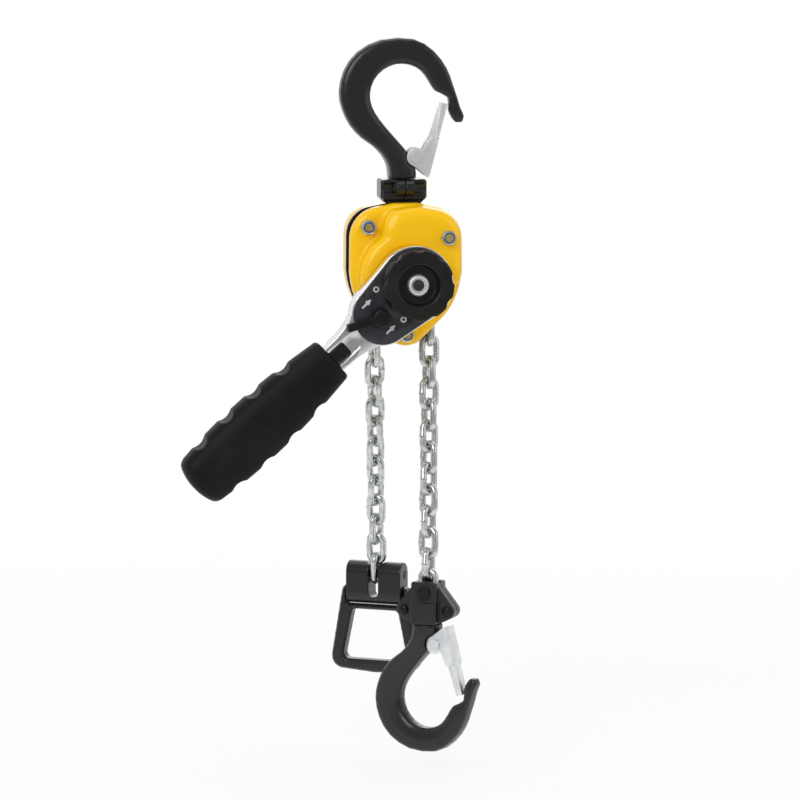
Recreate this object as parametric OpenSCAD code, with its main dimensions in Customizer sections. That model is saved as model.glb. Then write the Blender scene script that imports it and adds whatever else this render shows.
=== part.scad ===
// Mini lever chain hoist with hooks, load chain and slack-end stopper.
// Origin: centre of the top hook's bowl. +X right, +Y back, +Z up.
// The lever, brake and gears turn about one axis along Y, axis_drop below the origin.

/* [Load chain] */
// Diameter of the chain wire
chain_wire = 4; // [3.6:0.1:4.2]
// Pitch of the chain
chain_pitch = 12.55; // [11.8:0.05:12.8]
// Inner width of a link
link_inner = 5; // [4.8:0.1:5.4]
// Slack between two links that are drawn tight
link_play = 0.3; // [0.2:0.05:0.5]
// Hanging links on each side of the load sheave
strand_links = 15; // [11:2:21]
// Twist of each hanging strand from top to bottom, degrees
strand_twist = 58; // [30:1:70]
// Lean of the load strand towards the front, where the two blocks push each other apart, degrees
load_lean = 5; // [3:0.1:6]
// Lean of the slack strand towards the back, degrees
slack_lean = 14.4; // [10:0.1:16]
// Turn of the plane that both strands lean in, from the front-to-back plane, degrees
lean_turn = -12; // [-16:1:0]

/* [Frame] */
// Drop from the centre of the top hook's bowl to the main axis
axis_drop = 106; // [104:1:116]
// Clear gap between the two side plates
plate_gap = 15; // [14.6:0.2:17]
// Thickness of a side plate
plate_t = 2.5; // [2:0.1:3]
// Half width of the body
body_half = 33; // [32.6:0.2:36]
// Height of the body above the main axis
body_top = 44.5; // [44:0.5:50]
// Depth of the body below the main axis
body_foot = 39.6; // [38:0.1:44]
// Sheet thickness of the two covers
cover_t = 1.5; // [1.2:0.1:1.8]
// Depth of the brake cover in front of its side plate
brake_depth = 17.6; // [17.2:0.2:20]
// Depth of the gear cover behind its side plate
gear_depth = 17; // [16.6:0.2:20]
// Diameter of the stay bolts
stay_d = 4.5; // [4:0.1:5.5]
// Width across the flats of a stay nut
nut_flats = 8; // [7.6:0.1:9]

/* [Drive and gears] */
// Gear module of both stages
gear_module = 1; // [0.98:0.01:1.04]
// Teeth on the pinion
pinion_teeth = 12; // [11:1:13]
// Teeth on the large intermediate gear
second_teeth = 18; // [17:1:19]
// Teeth on the small intermediate gear
third_teeth = 10; // [9:1:11]
// Width of the pinion's teeth
first_face = 4.5; // [4:0.1:5]
// Width of the load gear
second_face = 4.5; // [4:0.1:5]
// Diameter of the pinion shaft
shaft_d = 7; // [6.6:0.1:7.2]
// Diameter of the thread that carries the change gear
thread_d = 10; // [9.6:0.1:10.4]
// Radius of the ratchet disc over its teeth
ratchet_r = 20; // [19:0.25:20.5]
// Teeth on the ratchet disc
ratchet_teeth = 12; // [11:1:13]
// Thickness of the ratchet disc
ratchet_t = 3.5; // [3:0.1:3.8]
// Thickness of a friction disc
friction_t = 1.5; // [1.2:0.1:1.6]

/* [Handwheel] */
// Radius of the handwheel
wheel_r = 20.8; // [18.5:0.1:21.2]
// Depth of the handwheel's rim
wheel_w = 10.5; // [10:0.1:12]
// Radius of the recess in the handwheel's face
wheel_recess_r = 12.1; // [11:0.1:13]
// Finger scallops round the handwheel's rim
wheel_scallops = 9; // [7:1:10]

/* [Lever] */
// Angle of the resting lever, turned up from +X
lever_rest = 222; // [215:1:230]
// Radius of the lever's head
head_r = 22; // [21.6:0.1:24]
// Distance from the main axis to the selector
selector_reach = 28.3; // [27.8:0.1:29.5]
// Radius of the lever's lobe round the selector
lobe_r = 18; // [17.5:0.1:19]
// Depth of the lever's housing
head_depth = 14.5; // [14:0.1:16]
// Sheet thickness of the lever
lever_t = 1.5; // [1.2:0.1:1.8]
// Distance from the main axis to the grip's near end
grip_start = 64.5; // [63:0.5:68]
// Distance from the main axis to the grip's far end
grip_end = 174; // [165:1:185]
// Largest width of the grip
grip_w = 37.4; // [35:0.2:40]
// Largest thickness of the grip
grip_t = 28; // [26:0.5:30]
// Finger notches along each side of the grip
grip_notches = 4; // [3:1:4]

/* [Hooks] */
// Thickness of a hook across its plane
hook_t = 11; // [10:0.2:12]
// Radius of a hook's shank neck inside its yoke
neck_r = 4.6; // [4.2:0.1:4.8]
// Size of the bottom hook compared with the top one
bottom_hook_scale = 0.93; // [0.88:0.01:1]
// Turn of the bottom hook from its block, degrees
bottom_hook_turn = -9; // [-12:1:10]
// Thickness of a latch's sheet
latch_t = 1.2; // [1:0.1:1.4]

/* [Blocks] */
// Width of the top yoke
yoke_w = 27.3; // [26.5:0.1:31]
// Distance between the two rivets of the top yoke
top_rivet_span = 20.6; // [19.5:0.1:28]
// Height of the bottom yoke block
yoke_h = 25.2; // [24.4:0.1:26]
// Distance between the two rivets of the bottom yoke block
rivet_span = 27.5; // [26:0.1:29]
// Width of the stopper block
stopper_w = 35; // [33:0.5:38]
// Depth of the stopper block
stopper_d = 13; // [12.6:0.2:15]
// Height of the stopper block
stopper_h = 25.5; // [24.5:0.5:28]
// Outer width of the stopper handle at its foot
handle_foot_w = 56; // [52:0.5:60]
// Height of the stopper handle
handle_h = 53; // [48:0.5:56]
// Width of the stopper handle's bars
handle_bar = 7.6; // [7:0.1:8.2]

/* [Hidden] */
$fn = 48;
fine = 96;
run = 0.08;      // running clearance of a shaft in its bush
gap = 0.3;       // clearance between neighbours that move past each other
axis_z = -axis_drop;

// Chain
link_outer = link_inner + 2 * chain_wire;
link_mid = (link_inner + chain_wire) / 2;
link_len = chain_pitch + link_play;
link_straight = (link_len - link_inner) / 2;
// A link turns round the bend centre of its upright neighbour, so the sides of the chain's octagon differ
side_up = (chain_pitch - link_mid) / 2;
side_flat = chain_pitch - side_up;
sheave_corner = sqrt(2 * (pow(side_up, 2) + pow(side_flat, 2) + 2 * side_up * side_flat * cos(45)));
sheave_up = sqrt(pow(sheave_corner, 2) - pow(side_up, 2));        // middle of the upright links
sheave_flat = sqrt(pow(sheave_corner, 2) - pow(side_flat, 2));    // middle of the links in the pockets
sheave_vertex = chain_pitch / (2 * sin(22.5));                     // the strands hang at this reach
first_in = link_play * 2 / 3;     // a strand's first link hangs inside that, as the sheave's links swing in
kink_links = 3;    // links of a strand that hang straight inside the body
kink = chain_pitch * kink_links - (link_play + chain_wire) / 2;
link_turn = strand_twist / (strand_links - 1);
strand_len = chain_pitch * strand_links;
end_pin_d = link_inner - 0.6;
strand_foot = strand_len + link_play / 2 - end_pin_d / 2 - 0.15;
block_turn = strand_twist - 90;    // the chain's last links turn the two bottom blocks

// Side plates and covers, counted from the middle of the chain
plate_in = plate_gap / 2;
plate_out = plate_in + plate_t;
brake_face = plate_out + brake_depth;
gear_face = plate_out + gear_depth;
stay_r = stay_d / 2;
nut_across = nut_flats / cos(30);
nut_h = 0.6 * nut_flats;
stay_spots = [[-0.697 * body_half, body_top - 13.5], [0.685 * body_half, body_top - 19.5],
              [-0.5, 7.1 - body_foot]];
low_face = plate_out + 7;    // front of the cover's flange at the first stay
top_pin_z = body_top - 7.5;
top_pin_r = 3;

// Gears
load_teeth = pinion_teeth + second_teeth - third_teeth;
gear_centre = gear_module * (pinion_teeth + second_teeth) / 2;
gear_sides = [20, 200];
load_gear_y = plate_out + 1;
first_gear_y = load_gear_y + second_face + 1;
lay_r = 2.5;
shaft_r = shaft_d / 2;

// Brake stack in front of the front side plate, from back to front
bush_out = plate_out + 0.8;
hub_back = bush_out + gap;
hub_t = 2.6;
disc_back = hub_back + hub_t;
ratchet_back = disc_back + friction_t + 0.02;
ratchet_front = ratchet_back + ratchet_t;
drive_back = ratchet_front + friction_t + 0.04;
hub_r = ratchet_r - 5;
thread_r = thread_d / 2;

// Lever and handwheel
head_back = brake_face + nut_h + 0.8;    // the lever sweeps over the upper stay nut
head_front = head_back + head_depth;
head_mid = (head_back + head_front) / 2;
drive_gear_r = 14.5;
drive_gear_w = head_depth - 2 * lever_t - 3;
drive_gear_y = head_back + lever_t + 1;
collar_r = 9.5;
plate_cap_t = 1.2;
wheel_back = head_front + plate_cap_t + 0.6;
wheel_front = wheel_back + wheel_w;
wheel_floor = wheel_back + 3.5;
selector_r = 5.2;
lever_dir = [cos(lever_rest), sin(lever_rest)];
pawl_axis_r = 3;

// Hooks
hook_back_w = 18;
hook_crown_w = 16;
neck_drop = 48;             // from the bowl's centre to the top of the yoke
yoke_top = -neck_drop - 0.4;

// Handle of the slack end
handle_head_w = stopper_w + 7.8;

module on_axis() { translate([0, 0, axis_z]) children(); }

// Draws its children's outline (X, Z) and thickens it from y0 to y1, both counted towards the front
module plate_y(y0, y1) {
    translate([0, -y0, 0]) rotate([90, 0, 0]) linear_extrude(y1 - y0) children();
}

// A round bar along Y from y0 to y1, counted towards the front, at x and z
module bar_y(r, y0, y1, at = [0, 0], fn = fine) {
    translate([at[0], -y0, at[1]]) rotate([90, 0, 0]) cylinder(r = r, h = y1 - y0, $fn = fn);
}

// A revolved body about Y; the profile gives radius and distance towards the front
module turned_y(profile, at = [0, 0]) {
    translate([at[0], 0, at[1]]) rotate([90, 0, 0]) rotate_extrude($fn = fine) polygon(profile);
}

// A hexagon nut or bolt head along Y, its corners left and right
module hex_y(flats, y0, y1, at = [0, 0]) {
    translate([at[0], -y0, at[1]]) rotate([90, 0, 0])
        cylinder(d = flats / cos(30), h = y1 - y0, $fn = 6);
}

// Points on a circle from angle a to angle b
function arc(c, r, a, b, n = 8) =
    [for (i = [0:n]) let (t = a + (b - a) * i / n) [c[0] + r * cos(t), c[1] + r * sin(t)]];

function mirrored(points) = [for (i = [len(points) - 1:-1:0]) [-points[i][0], points[i][1]]];

// ---- Chain ----

// One welded link, long side along Z and lying in the XZ plane
module link() {
    for (side = [-1, 1]) {
        translate([side * link_mid, 0, -link_straight])
            cylinder(d = chain_wire, h = 2 * link_straight, $fn = 32);
        translate([0, 0, side * link_straight]) rotate([90, 0, 0])
            rotate([0, 0, side > 0 ? 0 : 180]) rotate_extrude(angle = 180, $fn = 32)
                translate([link_mid, 0]) circle(d = chain_wire, $fn = 32);
    }
}

// Hangs its children at x, leaning back by the angle lean from the crown where the chain kinks
module hang(x, lean) {
    translate([x, 0, axis_z - kink]) leaned(lean) translate([0, 0, kink]) children();
}

// Leans its children in the plane of the two strands
module leaned(lean) {
    rotate([0, 0, lean_turn]) rotate([lean, 0, 0]) rotate([0, 0, -lean_turn]) children();
}

// A hanging strand at x; first = 90 starts with a link edge on to the front
module strand(x, first, lean) {
    color("silver") for (i = [0:strand_links - 1])
        hang(x - (i == 0 ? sign(x) * first_in : 0), i < kink_links ? 0 : lean)
            translate([0, 0, -chain_pitch * (i + 0.5)])
            rotate([0, 0, first + (i % 2) * 90 + link_turn * i]) link();
}

module load_chain() { strand(sheave_vertex, 90, -load_lean); }
module slack_chain() { strand(-sheave_vertex, 0, slack_lean); }

// Puts an upright block's parts at the end of a strand, turned about Z as its last link
module strand_end(x, lean) {
    hang(x, lean) translate([0, 0, -strand_foot]) leaned(-lean)
        rotate([0, 0, block_turn]) children();
}

// The four links that lie in the sheave's pockets
module sheave_links() {
    color("silver") on_axis()
        for (i = [0:3])
            rotate([0, -22.5 - 45 * i, 0]) translate([i % 2 == 0 ? sheave_up : sheave_flat, 0, 0])
                rotate([0, 0, (i % 2) * 90]) link();
}

// ---- Frame: plates, covers, stays and pins ----

// Right half of the body's outline from the foot to the crown, drawn in by d
function body_side(d) = let (w = body_half - d, top = body_top - d, foot = body_foot - d)
    concat([[0, -foot]],
           arc([0, 13 - foot - d], 13 - d, -65, -40, 2),
           arc([w - 41 + d, 44.5 - body_foot], 41 - d, -60, -10, 8),
           [[w + 0.2, 4]],
           arc([w - 18.5 + d, top - 20.5 + d], 18.5 - d, 0, 72, 7),
           [[7, top - 0.2]]);

module body_outline(d = 0) { polygon(concat(body_side(d), mirrored(body_side(d)))); }

// A pressed shell's solid: the outline from y0 to y1 with its front edge rounded by r
module pressed(y0, y1, r, d = 0) {
    hull() {
        plate_y(y0, y1 - r) body_outline(d);
        plate_y(y1 - r, y1 - 0.35 * r) body_outline(d + 0.25 * r);
        plate_y(y1 - r, y1) body_outline(d + r);
    }
}

// The raised upper right part of the brake cover, convex, drawn in by d
module plateau_outline(d) {
    polygon(concat([for (p = body_side(1.2 + d)) if (p[1] > -2) p],
                   [[-9 + d, body_top - 3.4 - d], [-13.5 + d, body_top - 8 - d],
                    [-15.5 + d, body_top - 16], [-15 + d, 12], [0, -2]]));
}

module plateau(y0, y1, r, d = 0) {
    hull() {
        plate_y(y0, y1 - r) plateau_outline(d);
        plate_y(y1 - r, y1 - 0.35 * r) plateau_outline(d + 0.3 * r);
        plate_y(y1 - r, y1) plateau_outline(d + r);
    }
}

// The round dome over the brake, from y0 to y1, with its edge rounded by r
module brake_dome(y0, y1, r, radius) {
    turned_y(concat([[0, y0], [radius, y0]], arc([radius - r, y1 - r], r, 0, 90, 5), [[0, y1]]),
             [0, 1.5]);
}

dome_r = 28.5;
module brake_cover() {
    color("gold") on_axis() difference() {
        union() {
            pressed(plate_out, low_face, 3);
            plateau(plate_out, brake_face, 5);
            brake_dome(plate_out + 1, brake_face - 0.02, 5, dome_r);
            bar_y(head_r - 4, brake_face - 1, head_back - 0.6);
        }
        pressed(plate_out - 1, low_face - cover_t, 2.2, cover_t);
        plateau(plate_out - 1, brake_face - cover_t, 4, cover_t);
        brake_dome(plate_out - 1, brake_face - cover_t - 0.02, 4, dome_r - cover_t);
        bar_y(head_r - 4 - cover_t, brake_face - 3, head_back - 0.6 - cover_t);
        bar_y(collar_r + 0.8, brake_face - 3, head_back + 1);
        for (s = stay_spots) bar_y(stay_r + 0.2, plate_out, brake_face + 1, s);
    }
}

rear_inset = 2;    // the rear cover is that much smaller all round
module gear_cover() {
    color("gold") on_axis() difference() {
        rotate([0, 0, 180]) pressed(plate_out, gear_face, 4, rear_inset);
        rotate([0, 0, 180]) pressed(plate_out - 1, gear_face - cover_t, 3, rear_inset + cover_t);
        for (s = stay_spots) bar_y(stay_r + 0.2, -gear_face - 1, -plate_out, s);
    }
}

pawl_reach = 28.3;
pawl_tips = [85, 85 + 2 * 360 / ratchet_teeth];
pawl_lead = 45;
pawl_pin_r = 2;
function polar(r, a) = [r * cos(a), r * sin(a)];
pawl_pivots = [for (t = pawl_tips) polar(pawl_reach, t - pawl_lead)];
lay_spots = [for (a = gear_sides) polar(gear_centre, a)];
bush_r = 9;
bush_seat_r = bush_r + 1.6;
lay_bush_r = lay_r + 1.2;

module side_plate(y0, inset) {
    difference() {
        plate_y(y0, y0 + plate_t) body_outline(inset);
        bar_y(bush_seat_r, y0 - 1, y0 + plate_t + 1);
        bar_y(top_pin_r, y0 - 1, y0 + plate_t + 1, [0, top_pin_z]);
        for (s = stay_spots) bar_y(stay_r + 0.1, y0 - 1, y0 + plate_t + 1, s);
        children();
    }
}

module front_side_plate() {
    color("dimgray") on_axis() side_plate(plate_in, 0.8)
        for (p = pawl_pivots) bar_y(pawl_pin_r, plate_in - 1, plate_out + 1, p);
}

module rear_side_plate() {
    color("dimgray") on_axis() side_plate(-plate_out, rear_inset - 0.5)
        for (p = lay_spots) bar_y(lay_bush_r, -plate_out - 1, -plate_in + 1, p);
}

module top_pin() {
    color("gray") on_axis() {
        bar_y(top_pin_r, -plate_out, plate_out, [0, top_pin_z]);
        for (side = [-1, 1])
            bar_y(top_pin_r + 0.6, side > 0 ? plate_out : -plate_out - 1.4,
                  side > 0 ? plate_out + 1.4 : -plate_out, [0, top_pin_z]);
    }
}

// Front face that a stay's nut is drawn up on
function stay_face(i) = i == 1 ? brake_face : low_face;

module stay_bolts() {
    color("darkkhaki") on_axis() for (i = [0:2]) {
        bar_y(stay_r, -gear_face, stay_face(i) + nut_h + 0.4, stay_spots[i]);
        hex_y(nut_flats, -gear_face - 3.5, -gear_face, stay_spots[i]);
    }
}

module stay_nuts() {
    color("silver") on_axis() for (i = [0:2]) difference() {
        union() {
            hex_y(nut_flats, stay_face(i), stay_face(i) + 0.75 * nut_h, stay_spots[i]);
            bar_y(0.49 * nut_flats, stay_face(i) + 0.75 * nut_h, stay_face(i) + nut_h, stay_spots[i]);
        }
        bar_y(stay_r, stay_face(i) - 1, stay_face(i) + nut_h + 1, stay_spots[i]);
    }
}

module stay_spacers() {
    color("gray") on_axis() for (i = [0, 1]) difference() {
        bar_y(stay_r + 1.6, -plate_in, plate_in, stay_spots[i]);
        bar_y(stay_r + 0.1, -plate_in - 1, plate_in + 1, stay_spots[i]);
    }
}

sheave_r = sheave_up + 2;
groove_floor = sheave_up - link_outer / 2 - 0.5;
guide_half = sheave_vertex - link_outer / 2 - 0.8;

// Block that keeps the two strands apart, with a tongue that strips the chain off the sheave
module chain_guide() {
    color("gray") on_axis() difference() {
        union() {
            plate_y(-plate_in, plate_in) difference() {
                polygon([[-guide_half, -sheave_r + 2], [guide_half, -sheave_r + 2],
                         [guide_half, stay_spots[2][1] - 2], [guide_half - 3, stay_spots[2][1] - 5],
                         [3 - guide_half, stay_spots[2][1] - 5], [-guide_half, stay_spots[2][1] - 2]]);
                circle(r = sheave_r + 0.6, $fn = fine);
            }
            plate_y(-chain_wire / 2, chain_wire / 2) difference() {
                polygon([[-3, -groove_floor + 1], [3, -groove_floor + 1], [5, -sheave_r - 2],
                         [-5, -sheave_r - 2]]);
                circle(r = groove_floor + 0.6, $fn = fine);
            }
        }
        bar_y(stay_r + 0.1, -plate_in - 1, plate_in + 1, stay_spots[2]);
    }
}

// Flanged bushes of the load sheave, one in each side plate
module sheave_bushes() {
    color("goldenrod") on_axis() for (side = [-1, 1]) difference() {
        union() {
            bar_y(bush_seat_r, side > 0 ? plate_in : -plate_out, side > 0 ? plate_out : -plate_in);
            bar_y(bush_seat_r + 1.2, side > 0 ? plate_out : -plate_out - 0.8,
                  side > 0 ? plate_out + 0.8 : -plate_out);
        }
        bar_y(bush_r + run, -plate_out - 2, plate_out + 2);
    }
}

pinion_back = first_gear_y + first_face;
tail_r = 3;
cover_bush_y = pinion_back + gap;

// Bushes of the pinion and lay shafts, in the rear side plate and the gear cover
module shaft_bushes() {
    inner = gear_face - cover_t;
    color("goldenrod") on_axis() {
        for (p = lay_spots) {
            difference() {
                bar_y(lay_bush_r, -plate_out, -plate_in, p);
                bar_y(lay_r + run, -plate_out - 1, -plate_in + 1, p);
            }
            difference() {
                bar_y(lay_bush_r + 0.6, -inner, -cover_bush_y, p);
                bar_y(lay_r + run, -inner - 1, -cover_bush_y + 1, p);
            }
        }
        difference() {
            bar_y(tail_r + 2, -inner, -cover_bush_y);
            bar_y(tail_r + run, -inner - 1, -cover_bush_y + 1);
        }
    }
}

// ---- Gears and load sheave ----

pressure = 25;
addendum = 0.85;
dedendum = 1.1;
tooth_play = 0.16;    // thinning of each tooth at the pitch circle, in modules

function inv(a) = tan(a) * 180 / PI - a;

// Half angle of a tooth at radius r, for a gear of z teeth
function half_tooth(z, r) = let (rb = gear_module * z * cos(pressure) / 2,
                                 a = r > rb ? acos(rb / r) : 0)
    (PI / 2 - tooth_play / 2) / z * 180 / PI + inv(pressure) - inv(a);

// Outline of an involute spur gear, one tooth centred on +X
function gear_points(z) =
    let (tip = gear_module * (z / 2 + addendum), root = gear_module * (z / 2 - dedendum),
         flank = [for (k = [0:4]) root + (tip - root) * k / 4])
    [for (i = [0:z - 1], p = concat([for (r = flank) [r, -half_tooth(z, r)]],
                                    [for (k = [4:-1:0]) [flank[k], half_tooth(z, flank[k])]]))
        polar(p[0], p[1] + 360 * i / z)];

// A spur gear from y0 to y1 towards the front, turned so that one tooth points at angle a
module gear_y(z, y0, y1, a, at = [0, 0]) {
    translate([at[0], -y0, at[1]]) rotate([90, 0, 0]) rotate([0, 0, a])
        linear_extrude(y1 - y0) polygon(gear_points(z));
}

// Turn of gear b so that it meshes with gear a, whose tooth points at ta, in direction dir
function meshed(za, ta, zb, dir) = dir + 180 - 180 / zb - (ta - dir) * za / zb;

spline_r = 6;
module spline_outline(r, d = 0) {
    circle(r = r - 1.2 - d, $fn = 48);
    for (i = [0:5]) rotate(60 * i) translate([0, -1.2 - d]) square([r - d, 2.4 + 2 * d]);
}

module load_gear() {
    color("slategray") on_axis() difference() {
        gear_y(load_teeth, -load_gear_y - second_face, -load_gear_y, 0);
        plate_y(-load_gear_y - second_face - 1, -load_gear_y + 1) spline_outline(spline_r + 0.2, 0.1);
    }
}

// Chain pockets: flats for the lying links and a groove for the standing ones
module load_sheave() {
    pocket_w = link_outer + 2 * gap;
    pocket_l = link_len + 2 * chain_wire + 2 * gap + 0.6;
    floor_r = sheave_flat - chain_wire / 2 - 0.3;
    color("darkgray") on_axis() difference() {
        union() {
            bar_y(sheave_r, gap - plate_in, plate_in - gap);
            bar_y(bush_r, -plate_out - 0.6, plate_out + 0.6);
            plate_y(-load_gear_y - second_face, -plate_out) spline_outline(spline_r);
        }
        for (i = [0:3]) rotate([0, 22.5 + 90 * i, 0])
            translate([-pocket_l / 2, -pocket_w / 2, floor_r]) cube([pocket_l, pocket_w, sheave_r]);
        difference() {
            bar_y(sheave_r + 1, -chain_wire / 2 - 0.4, chain_wire / 2 + 0.4);
            bar_y(groove_floor, -plate_in, plate_in);
        }
        bar_y(shaft_r + run, -load_gear_y - second_face - 1, plate_out + 1);
    }
}

// An intermediate shaft with its large and small gear
module lay_gear(i) {
    dir = gear_sides[i];
    at = lay_spots[i];
    color("slategray") on_axis() {
        gear_y(third_teeth, -load_gear_y - second_face, -load_gear_y,
               meshed(load_teeth, 0, third_teeth, dir), at);
        gear_y(second_teeth, -pinion_back, -first_gear_y, meshed(pinion_teeth, 0, second_teeth, dir), at);
        bar_y(lay_r + 0.8, -first_gear_y, -load_gear_y - second_face, at);
        bar_y(lay_r, -gear_face + cover_t + gap, -pinion_back, at);
        bar_y(lay_r, -load_gear_y, -plate_in - 0.2, at);
    }
}
module lay_gear_right() { lay_gear(0); }
module lay_gear_left() { lay_gear(1); }

shaft_front = wheel_front - 2.5;
wheel_nut_h = 4.5;
nut_back = shaft_front - wheel_nut_h - 0.5;

// Long pinion through the sheave, its threaded front end carrying the brake and the handwheel
module pinion_shaft() {
    color("gray") on_axis() {
        gear_y(pinion_teeth, -pinion_back, -first_gear_y, 0);
        bar_y(tail_r, -gear_face + cover_t + gap, -pinion_back);
        bar_y(shaft_r, -first_gear_y, hub_back);
        bar_y(thread_r, hub_back, wheel_floor - 1.3);
        bar_y(shaft_r - 0.5, wheel_floor - 1.3, shaft_front);
    }
}

module friction_hub() {
    color("slategray") on_axis() difference() {
        union() {
            bar_y(hub_r, hub_back, disc_back);
            bar_y(thread_r + 1.5, disc_back, drive_back);
        }
        bar_y(thread_r, hub_back - 1, drive_back + 1);
    }
}

module friction_discs() {
    color("saddlebrown") on_axis()
        for (y = [disc_back, ratchet_front + 0.02]) difference() {
            bar_y(hub_r, y, y + friction_t);
            bar_y(thread_r + 1.7, y - 1, y + friction_t + 1);
        }
}

tooth_depth = 2.6;
// Saw teeth whose steep faces stop the pawls
module ratchet_disc() {
    color("silver") on_axis() difference() {
        plate_y(ratchet_back, ratchet_front)
            polygon([for (i = [0:ratchet_teeth - 1], k = [0:4])
                let (a = pawl_tips[0] + 360 * i / ratchet_teeth)
                k == 0 ? polar(ratchet_r - tooth_depth, a - 0.5)
                       : polar(ratchet_r - tooth_depth * (k - 1) / 4,
                               a + 360 / ratchet_teeth * (k - 1) * 0.24)]);
        bar_y(thread_r + 1.7, ratchet_back - 1, ratchet_front + 1);
    }
}

// A brake pawl whose hooked tip stops one tooth, on its pin
module brake_pawl(i) {
    t = pawl_tips[i];
    pivot = pawl_pivots[i];
    root_r = ratchet_r - tooth_depth;
    color("lightslategray") on_axis() difference() {
        plate_y(ratchet_back + 0.1, ratchet_front - 0.1) {
            translate(pivot) circle(r = 3.8);
            polygon([pivot + polar(3.7, t + 5), pivot + polar(3.7, t - 170), polar(ratchet_r + 0.8, t - 20),
                     polar(root_r + 0.5, t - 1.3), polar(ratchet_r + 1, t - 1.3),
                     polar(ratchet_r + 3, t - 7)]);
        }
        bar_y(pawl_pin_r + run, ratchet_back - 1, ratchet_front + 1, pivot);
    }
}
module brake_pawl_right() { brake_pawl(0); }
module brake_pawl_left() { brake_pawl(1); }

module pawl_pins() {
    color("gray") on_axis() for (p = pawl_pivots) {
        bar_y(pawl_pin_r, plate_in + gap, ratchet_front + 1.6, p);
        bar_y(pawl_pin_r + 1.4, plate_out, ratchet_back - gap, p);
        bar_y(pawl_pin_r + 1.4, ratchet_front + gap, ratchet_front + 1.2, p);
    }
}

// Flanged nut-shaped hub with coarse teeth for the lever's pawl, screwed on the thread
drive_teeth = 12;
module change_gear() {
    tip_r = drive_gear_r;
    root_r = drive_gear_r - 2.3;
    color("slategray") on_axis() difference() {
        union() {
            bar_y(hub_r, drive_back, drive_back + 2.5);
            bar_y(collar_r, drive_back, wheel_back);
            plate_y(drive_gear_y, drive_gear_y + drive_gear_w)
                polygon([for (i = [0:drive_teeth - 1],
                              p = [[root_r, -8], [tip_r, -5], [tip_r, 5], [root_r, 8]])
                    polar(p[0], p[1] + lever_rest + 360 * i / drive_teeth)]);
            plate_y(wheel_back, wheel_floor - 1.2) square(1.5 * collar_r, center = true);
        }
        bar_y(thread_r, drive_back - 1, wheel_floor);
    }
}

// ---- Handwheel ----

module handwheel() {
    scallop_r = 5.4;
    color("#222222") on_axis() difference() {
        turned_y(concat([[0, wheel_back]], arc([wheel_r - 2.2, wheel_back + 1.2], 1.2, -90, 0, 3),
                        arc([wheel_r - 1.6, wheel_front - 1.6], 1.6, 0, 90, 5),
                        arc([wheel_recess_r + 0.8, wheel_front - 0.8], 0.8, 90, 180, 3),
                        [[wheel_recess_r - 0.8, wheel_floor], [0, wheel_floor]]));
        for (i = [0:wheel_scallops - 1])
            bar_y(scallop_r, wheel_back + 3.4, wheel_front + 1,
                  polar(wheel_r + scallop_r - 1.5, 90 + 360 * i / wheel_scallops), 48);
        plate_y(wheel_back - 1, wheel_floor - 1.2) square(1.5 * collar_r + 0.1, center = true);
        bar_y(shaft_r - 0.4, wheel_back, wheel_front);
    }
}

module wheel_washer() {
    color("lightgray") on_axis() difference() {
        bar_y(6.2, wheel_floor, wheel_floor + 1);
        bar_y(shaft_r - 0.4, wheel_floor - 1, wheel_floor + 2);
    }
}

// Castle-free round lock nut with a chamfered face
module wheel_nut() {
    back = wheel_floor + 1;
    color("lightgray") on_axis() difference() {
        turned_y([[0, back], [6.4, back], [6.4, shaft_front - 1], [5.4, shaft_front + 0.2],
                  [0, shaft_front + 0.2]]);
        bar_y(shaft_r - 0.5, back - 1, shaft_front - 1);
        bar_y(4.4, shaft_front - 1.2, shaft_front + 1);
    }
}

// ---- Lever ----

neck_half = 8.3;
screw_r = 1.1;
screw_spots = [[selector_reach - 9, -13.9], [selector_reach - 9.1, 10], [-12, 11], [-12, -11]];
lobe_end = 30;
neck_end = 60;
tang_end = grip_end - 30;

// Half width of the lever between its lobe and its neck, u from the main axis
function taper(u) = neck_half
    + (lobe_r - 0.5 - neck_half) * pow(1 - (u - lobe_end) / (neck_end - lobe_end), 2.2);

// The lever seen from the front, along +X, drawn in by d
module lever_outline(d) {
    side = concat([for (u = [lobe_end:3:neck_end]) [u, taper(u) - d]], [[tang_end, neck_half - d]]);
    hull() {
        circle(r = head_r - d, $fn = fine);
        translate([selector_reach - 2, 0]) circle(r = lobe_r - d, $fn = fine);
    }
    polygon(concat([[0, d - 10]], [for (p = side) [p[0], -p[1]]],
                   [for (i = [len(side) - 1:-1:0]) side[i]], [[0, 10 - d]]));
}

// Puts a shape drawn along +X into the resting lever
module on_lever() { on_axis() rotate([0, -lever_rest, 0]) children(); }

tang_back = head_mid + 3;
// Pressed lever: a dished head, a channel neck and a flat tang inside the grip
module lever() {
    color("silver") on_lever() difference() {
        plate_y(head_back + lever_t + 0.3, head_front) lever_outline(0);
        difference() {
            plate_y(head_back, head_front - lever_t) lever_outline(lever_t);
            plate_y(head_back - 1, head_front + 1)
                translate([neck_end + 1, -neck_half - 1]) square([tang_end, 2 * neck_half + 2]);
        }
        plate_y(head_back, tang_back - 6)
            translate([neck_end + 1, -neck_half - 1]) square([tang_end, 2 * neck_half + 2]);
        plate_y(tang_back, head_front + 1)
            translate([neck_end + 8, -neck_half - 1]) square([tang_end, 2 * neck_half + 2]);
        plate_y(head_front - 0.8, head_front + 1)
            hull() for (u = [50, neck_end + 8]) translate([u, 0]) circle(r = neck_half - 3.3);
        bar_y(collar_r + 0.4, head_back - 1, head_front + 1);
        for (s = screw_spots) bar_y(screw_r, head_mid, head_front + 1, s);
        bar_y(selector_r - 1.6, head_back - 1, head_front + 1, [selector_reach, 0]);
    }
}

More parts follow.
